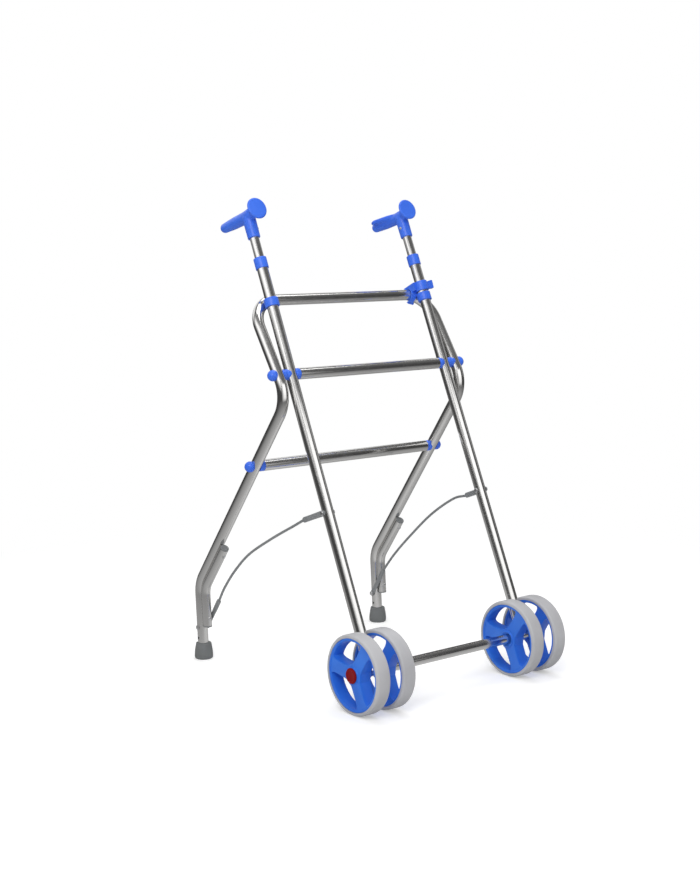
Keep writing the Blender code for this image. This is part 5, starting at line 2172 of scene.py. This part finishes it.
@dataclass
class Studio:
    """Camera, floor, lights and the cards that the bright tubes mirror, in metres but for the camera."""

    camera_at: tuple[float, float, float] = (-1904.2, -2066.5, 863.7)
    azimuth: float = -38.82
    pitch: float = 7.49
    roll: float = -0.32
    focal_px: float = 1512.8
    sensor: float = 36.0
    view_end: float = 50.0
    floor_half: float = 6.0
    floor_paint: tuple[float, ...] = (0.8, 0.8, 0.8, 1.0)
    floor_glow: float = 0.35
    floor_fade: tuple[float, float] = (0.6, 1.5)
    soft_light: float = 0.5
    room_shade: float = 0.06
    card_steps: int = 48
    lamp_aim: tuple[float, float, float] = (0.0, 0.0, 0.45)
    lamps: tuple[Lamp, ...] = (
        Lamp("key_lamp", (-2.4, -2.0, 2.8), 2.0, 62.0),
        Lamp("top_lamp", (0.3, 0.2, 3.2), 2.4, 36.0),
    )

    def camera(self) -> None:
        """The camera at the photograph's viewing angle."""
        turn, tip, roll = (math.radians(a) for a in (self.azimuth, self.pitch, self.roll))
        ahead = Vector((-math.sin(turn) * math.cos(tip), math.cos(turn) * math.cos(tip), -math.sin(tip)))
        right = ahead.cross(Z).normalized()
        up = right.cross(ahead)
        right, up = right * math.cos(roll) + up * math.sin(roll), up * math.cos(roll) - right * math.sin(roll)
        data = bpy.data.cameras.new("camera")
        data.sensor_width = self.sensor
        data.sensor_fit = "AUTO"
        data.lens = self.focal_px * self.sensor / max(PHOTO_SIZE)
        data.clip_end = self.view_end
        obj = linked("camera", data)
        turned_by = Matrix((right, up, -ahead)).transposed().to_4x4()
        obj.matrix_world = Matrix.Translation(PLAN.to_row() @ Vector(self.camera_at)) @ turned_by
        bpy.context.scene.camera = obj

    def blank(self, name: str) -> tuple[Material, Wiring]:
        """A material without nodes.

        Args:
            name: its name.

        Returns:
            The material and its wiring.
        """
        material = bpy.data.materials.new(name)
        material.use_nodes = True
        material.node_tree.nodes.clear()
        return material, Wiring(material.node_tree)

    def floor(self) -> None:
        """A plain white floor that keeps the object's shadow and is white as far as it goes."""
        half = self.floor_half
        mesh = bpy.data.meshes.new("floor")
        corners = [(-half, -half, 0.0), (half, -half, 0.0), (half, half, 0.0), (-half, half, 0.0)]
        mesh.from_pydata(corners, [], [(0, 1, 2, 3)])
        obj = linked("floor", mesh)
        material, wires = self.blank("white_floor")
        shown = wires.seen_directly()
        place = wires.node("ShaderNodeTexCoord")
        far = wires.node("ShaderNodeVectorMath", operation="LENGTH")
        near_glow = wires.node("ShaderNodeEmission", Color=WHITE)
        white = wires.node("ShaderNodeEmission", Color=WHITE)
        paint = wires.node("ShaderNodeBsdfDiffuse", Color=self.floor_paint)
        both = wires.node("ShaderNodeAddShader")
        either = wires.node("ShaderNodeMixShader")
        end = wires.node("ShaderNodeOutputMaterial")
        wires.link(wires.maths("MULTIPLY", shown, self.floor_glow), near_glow.inputs["Strength"])
        wires.link(place.outputs["Object"], far.inputs[0])
        faded = wires.ranged(far.outputs["Value"], self.floor_fade)
        wires.link(wires.maths("MULTIPLY", faded, shown), either.inputs[0])
        wires.link(paint.outputs[0], both.inputs[0])
        wires.link(near_glow.outputs[0], both.inputs[1])
        wires.link(both.outputs[0], either.inputs[1])
        wires.link(white.outputs[0], either.inputs[2])
        wires.link(either.outputs[0], end.inputs["Surface"])
        mesh.materials.append(material)

    def world(self) -> None:
        """White surroundings, at a lower level for soft light than for what is seen."""
        world = bpy.data.worlds.new("white_room")
        world.use_nodes = True
        bpy.context.scene.world = world
        wires = Wiring(world.node_tree)
        back = world.node_tree.nodes["Background"]
        back.inputs["Color"].default_value = WHITE
        level = wires.ranged(wires.seen_directly(), (0.0, 1.0), (self.soft_light, 1.0))
        wires.link(level, back.inputs["Strength"])

    def card(
        self, name: str, span: tuple[float, float], rows: Stops,
        soft: tuple[float, float] | None = None,
    ) -> None:
        """A curved card that only reflections see.

        Args:
            name: the card's name.
            span: where it starts and ends round the object, in degrees from +X.
            rows: distance from the object's middle, height and brightness of each row of points.
            soft: degrees at its start and end over which it fades to the room's brightness.
        """
        points, faces, shades = [], [], []
        first, last = span
        step = len(rows)
        for i in range(self.card_steps + 1):
            angle = first + (last - first) * i / self.card_steps
            turn = math.radians(angle)
            fade = min(1.0, (angle - first) / soft[0], (last - angle) / soft[1]) if soft else 1.0
            for radius, height, shade in rows:
                points.append((radius * math.cos(turn), radius * math.sin(turn), height))
                shades.append(self.room_shade + (shade - self.room_shade) * fade)
        for i in range(self.card_steps):
            for a in range(i * step, (i + 1) * step - 1):
                faces.append((a, a + step, a + step + 1, a + 1))
        mesh = bpy.data.meshes.new(name)
        mesh.from_pydata(points, [], faces)
        mesh.attributes.new("shade", "FLOAT", "POINT").data.foreach_set("value", shades)
        obj = linked(name, mesh)
        material, wires = self.blank(name)
        shade_at = wires.node("ShaderNodeAttribute", attribute_name="shade")
        glow = wires.node("ShaderNodeEmission", Color=WHITE)
        end = wires.node("ShaderNodeOutputMaterial")
        wires.link(shade_at.outputs["Fac"], glow.inputs["Strength"])
        wires.link(glow.outputs[0], end.inputs["Surface"])
        mesh.materials.append(material)
        obj.visible_camera = False
        obj.visible_diffuse = False
        obj.visible_shadow = False
        obj.visible_transmission = False

    def cards(self) -> None:
        """The dark room and the long soft boxes that the bright tubes mirror."""
        room = ((3.3, -0.01, 0.06), (3.3, 1.6, 0.06), (3.0, 3.0, 0.12), (1.8, 4.2, 0.25), (0.01, 4.5, 0.3))
        ground = ((0.02, 0.62), (0.2, 0.58), (0.32, 0.46), (0.5, 0.39), (0.8, 0.33),
                  (1.2, 0.25), (2.0, 0.15), (3.3, 0.1))
        ground_z = 0.004
        box = ((0.7, 0.15), (0.85, 0.5), (1.0, 1.0), (1.3, 1.45), (1.5, 1.0),
               (1.75, 0.6), (2.0, 0.3), (2.2, 0.1))
        front_r, back_r, back_level = 1.25, 1.3, 0.8
        low_box = ((0.25, 0.3), (0.45, 1.0), (0.75, 1.25), (1.1, 1.4), (1.33, 1.4), (1.45, 0.2))
        low_r = 1.2
        self.card("dark_room", (0.0, 360.0), room)
        self.card("dark_ground", (0.0, 360.0), [(radius, ground_z, shade) for radius, shade in ground])
        self.card("front_box", (130.0, 285.0), [(front_r, *row) for row in box], (35.0, 85.0))
        self.card("low_box", (208.0, 304.0), [(low_r, *row) for row in low_box], (38.0, 12.0))
        self.card("back_box", (40.0, 140.0), [(back_r, height, shade * back_level) for height, shade in box])
        self.card("grey_wall", (-28.0, 28.0), ((2.9, 0.8, 0.3), (2.9, 2.3, 0.35)))

    def hang(self, lamp: Lamp) -> None:
        """Hangs a lamp and aims it at the middle of the object.

        Args:
            lamp: the lamp.
        """
        data = bpy.data.lights.new(lamp.name, "AREA")
        data.size = lamp.size
        data.energy = lamp.power
        obj = linked(lamp.name, data)
        aim = (Vector(self.lamp_aim) - Vector(lamp.place)).to_track_quat("-Z", "Y")
        obj.matrix_world = Matrix.Translation(lamp.place) @ aim.to_matrix().to_4x4()

    def build(self) -> None:
        """Builds the studio."""
        bpy.context.scene.view_settings.view_transform = "Standard"
        self.camera()
        self.floor()
        self.world()
        self.cards()
        for lamp in self.lamps:
            self.hang(lamp)


def main() -> None:
    """Builds the studio and every sub-assembly."""
    logging.basicConfig(level=logging.INFO, format="%(name)s %(message)s")
    Studio().build()
    shop = Workshop(FinishShelf(), TubeTree(), FastenerTree())
    assemblies: list[SubAssembly] = [SafetyCable(shop, side) for side in Side]
    assemblies += [FrontFrame(shop), RearFrame(shop), CrossBars(shop), Collars(shop)]
    assemblies += [Handle(shop, side) for side in Side]
    assemblies += [Wheel(shop, side, berth) for side in Side for berth in Berth]
    for assembly in assemblies:
        assembly.build()


if __name__ == "__main__":
    main()
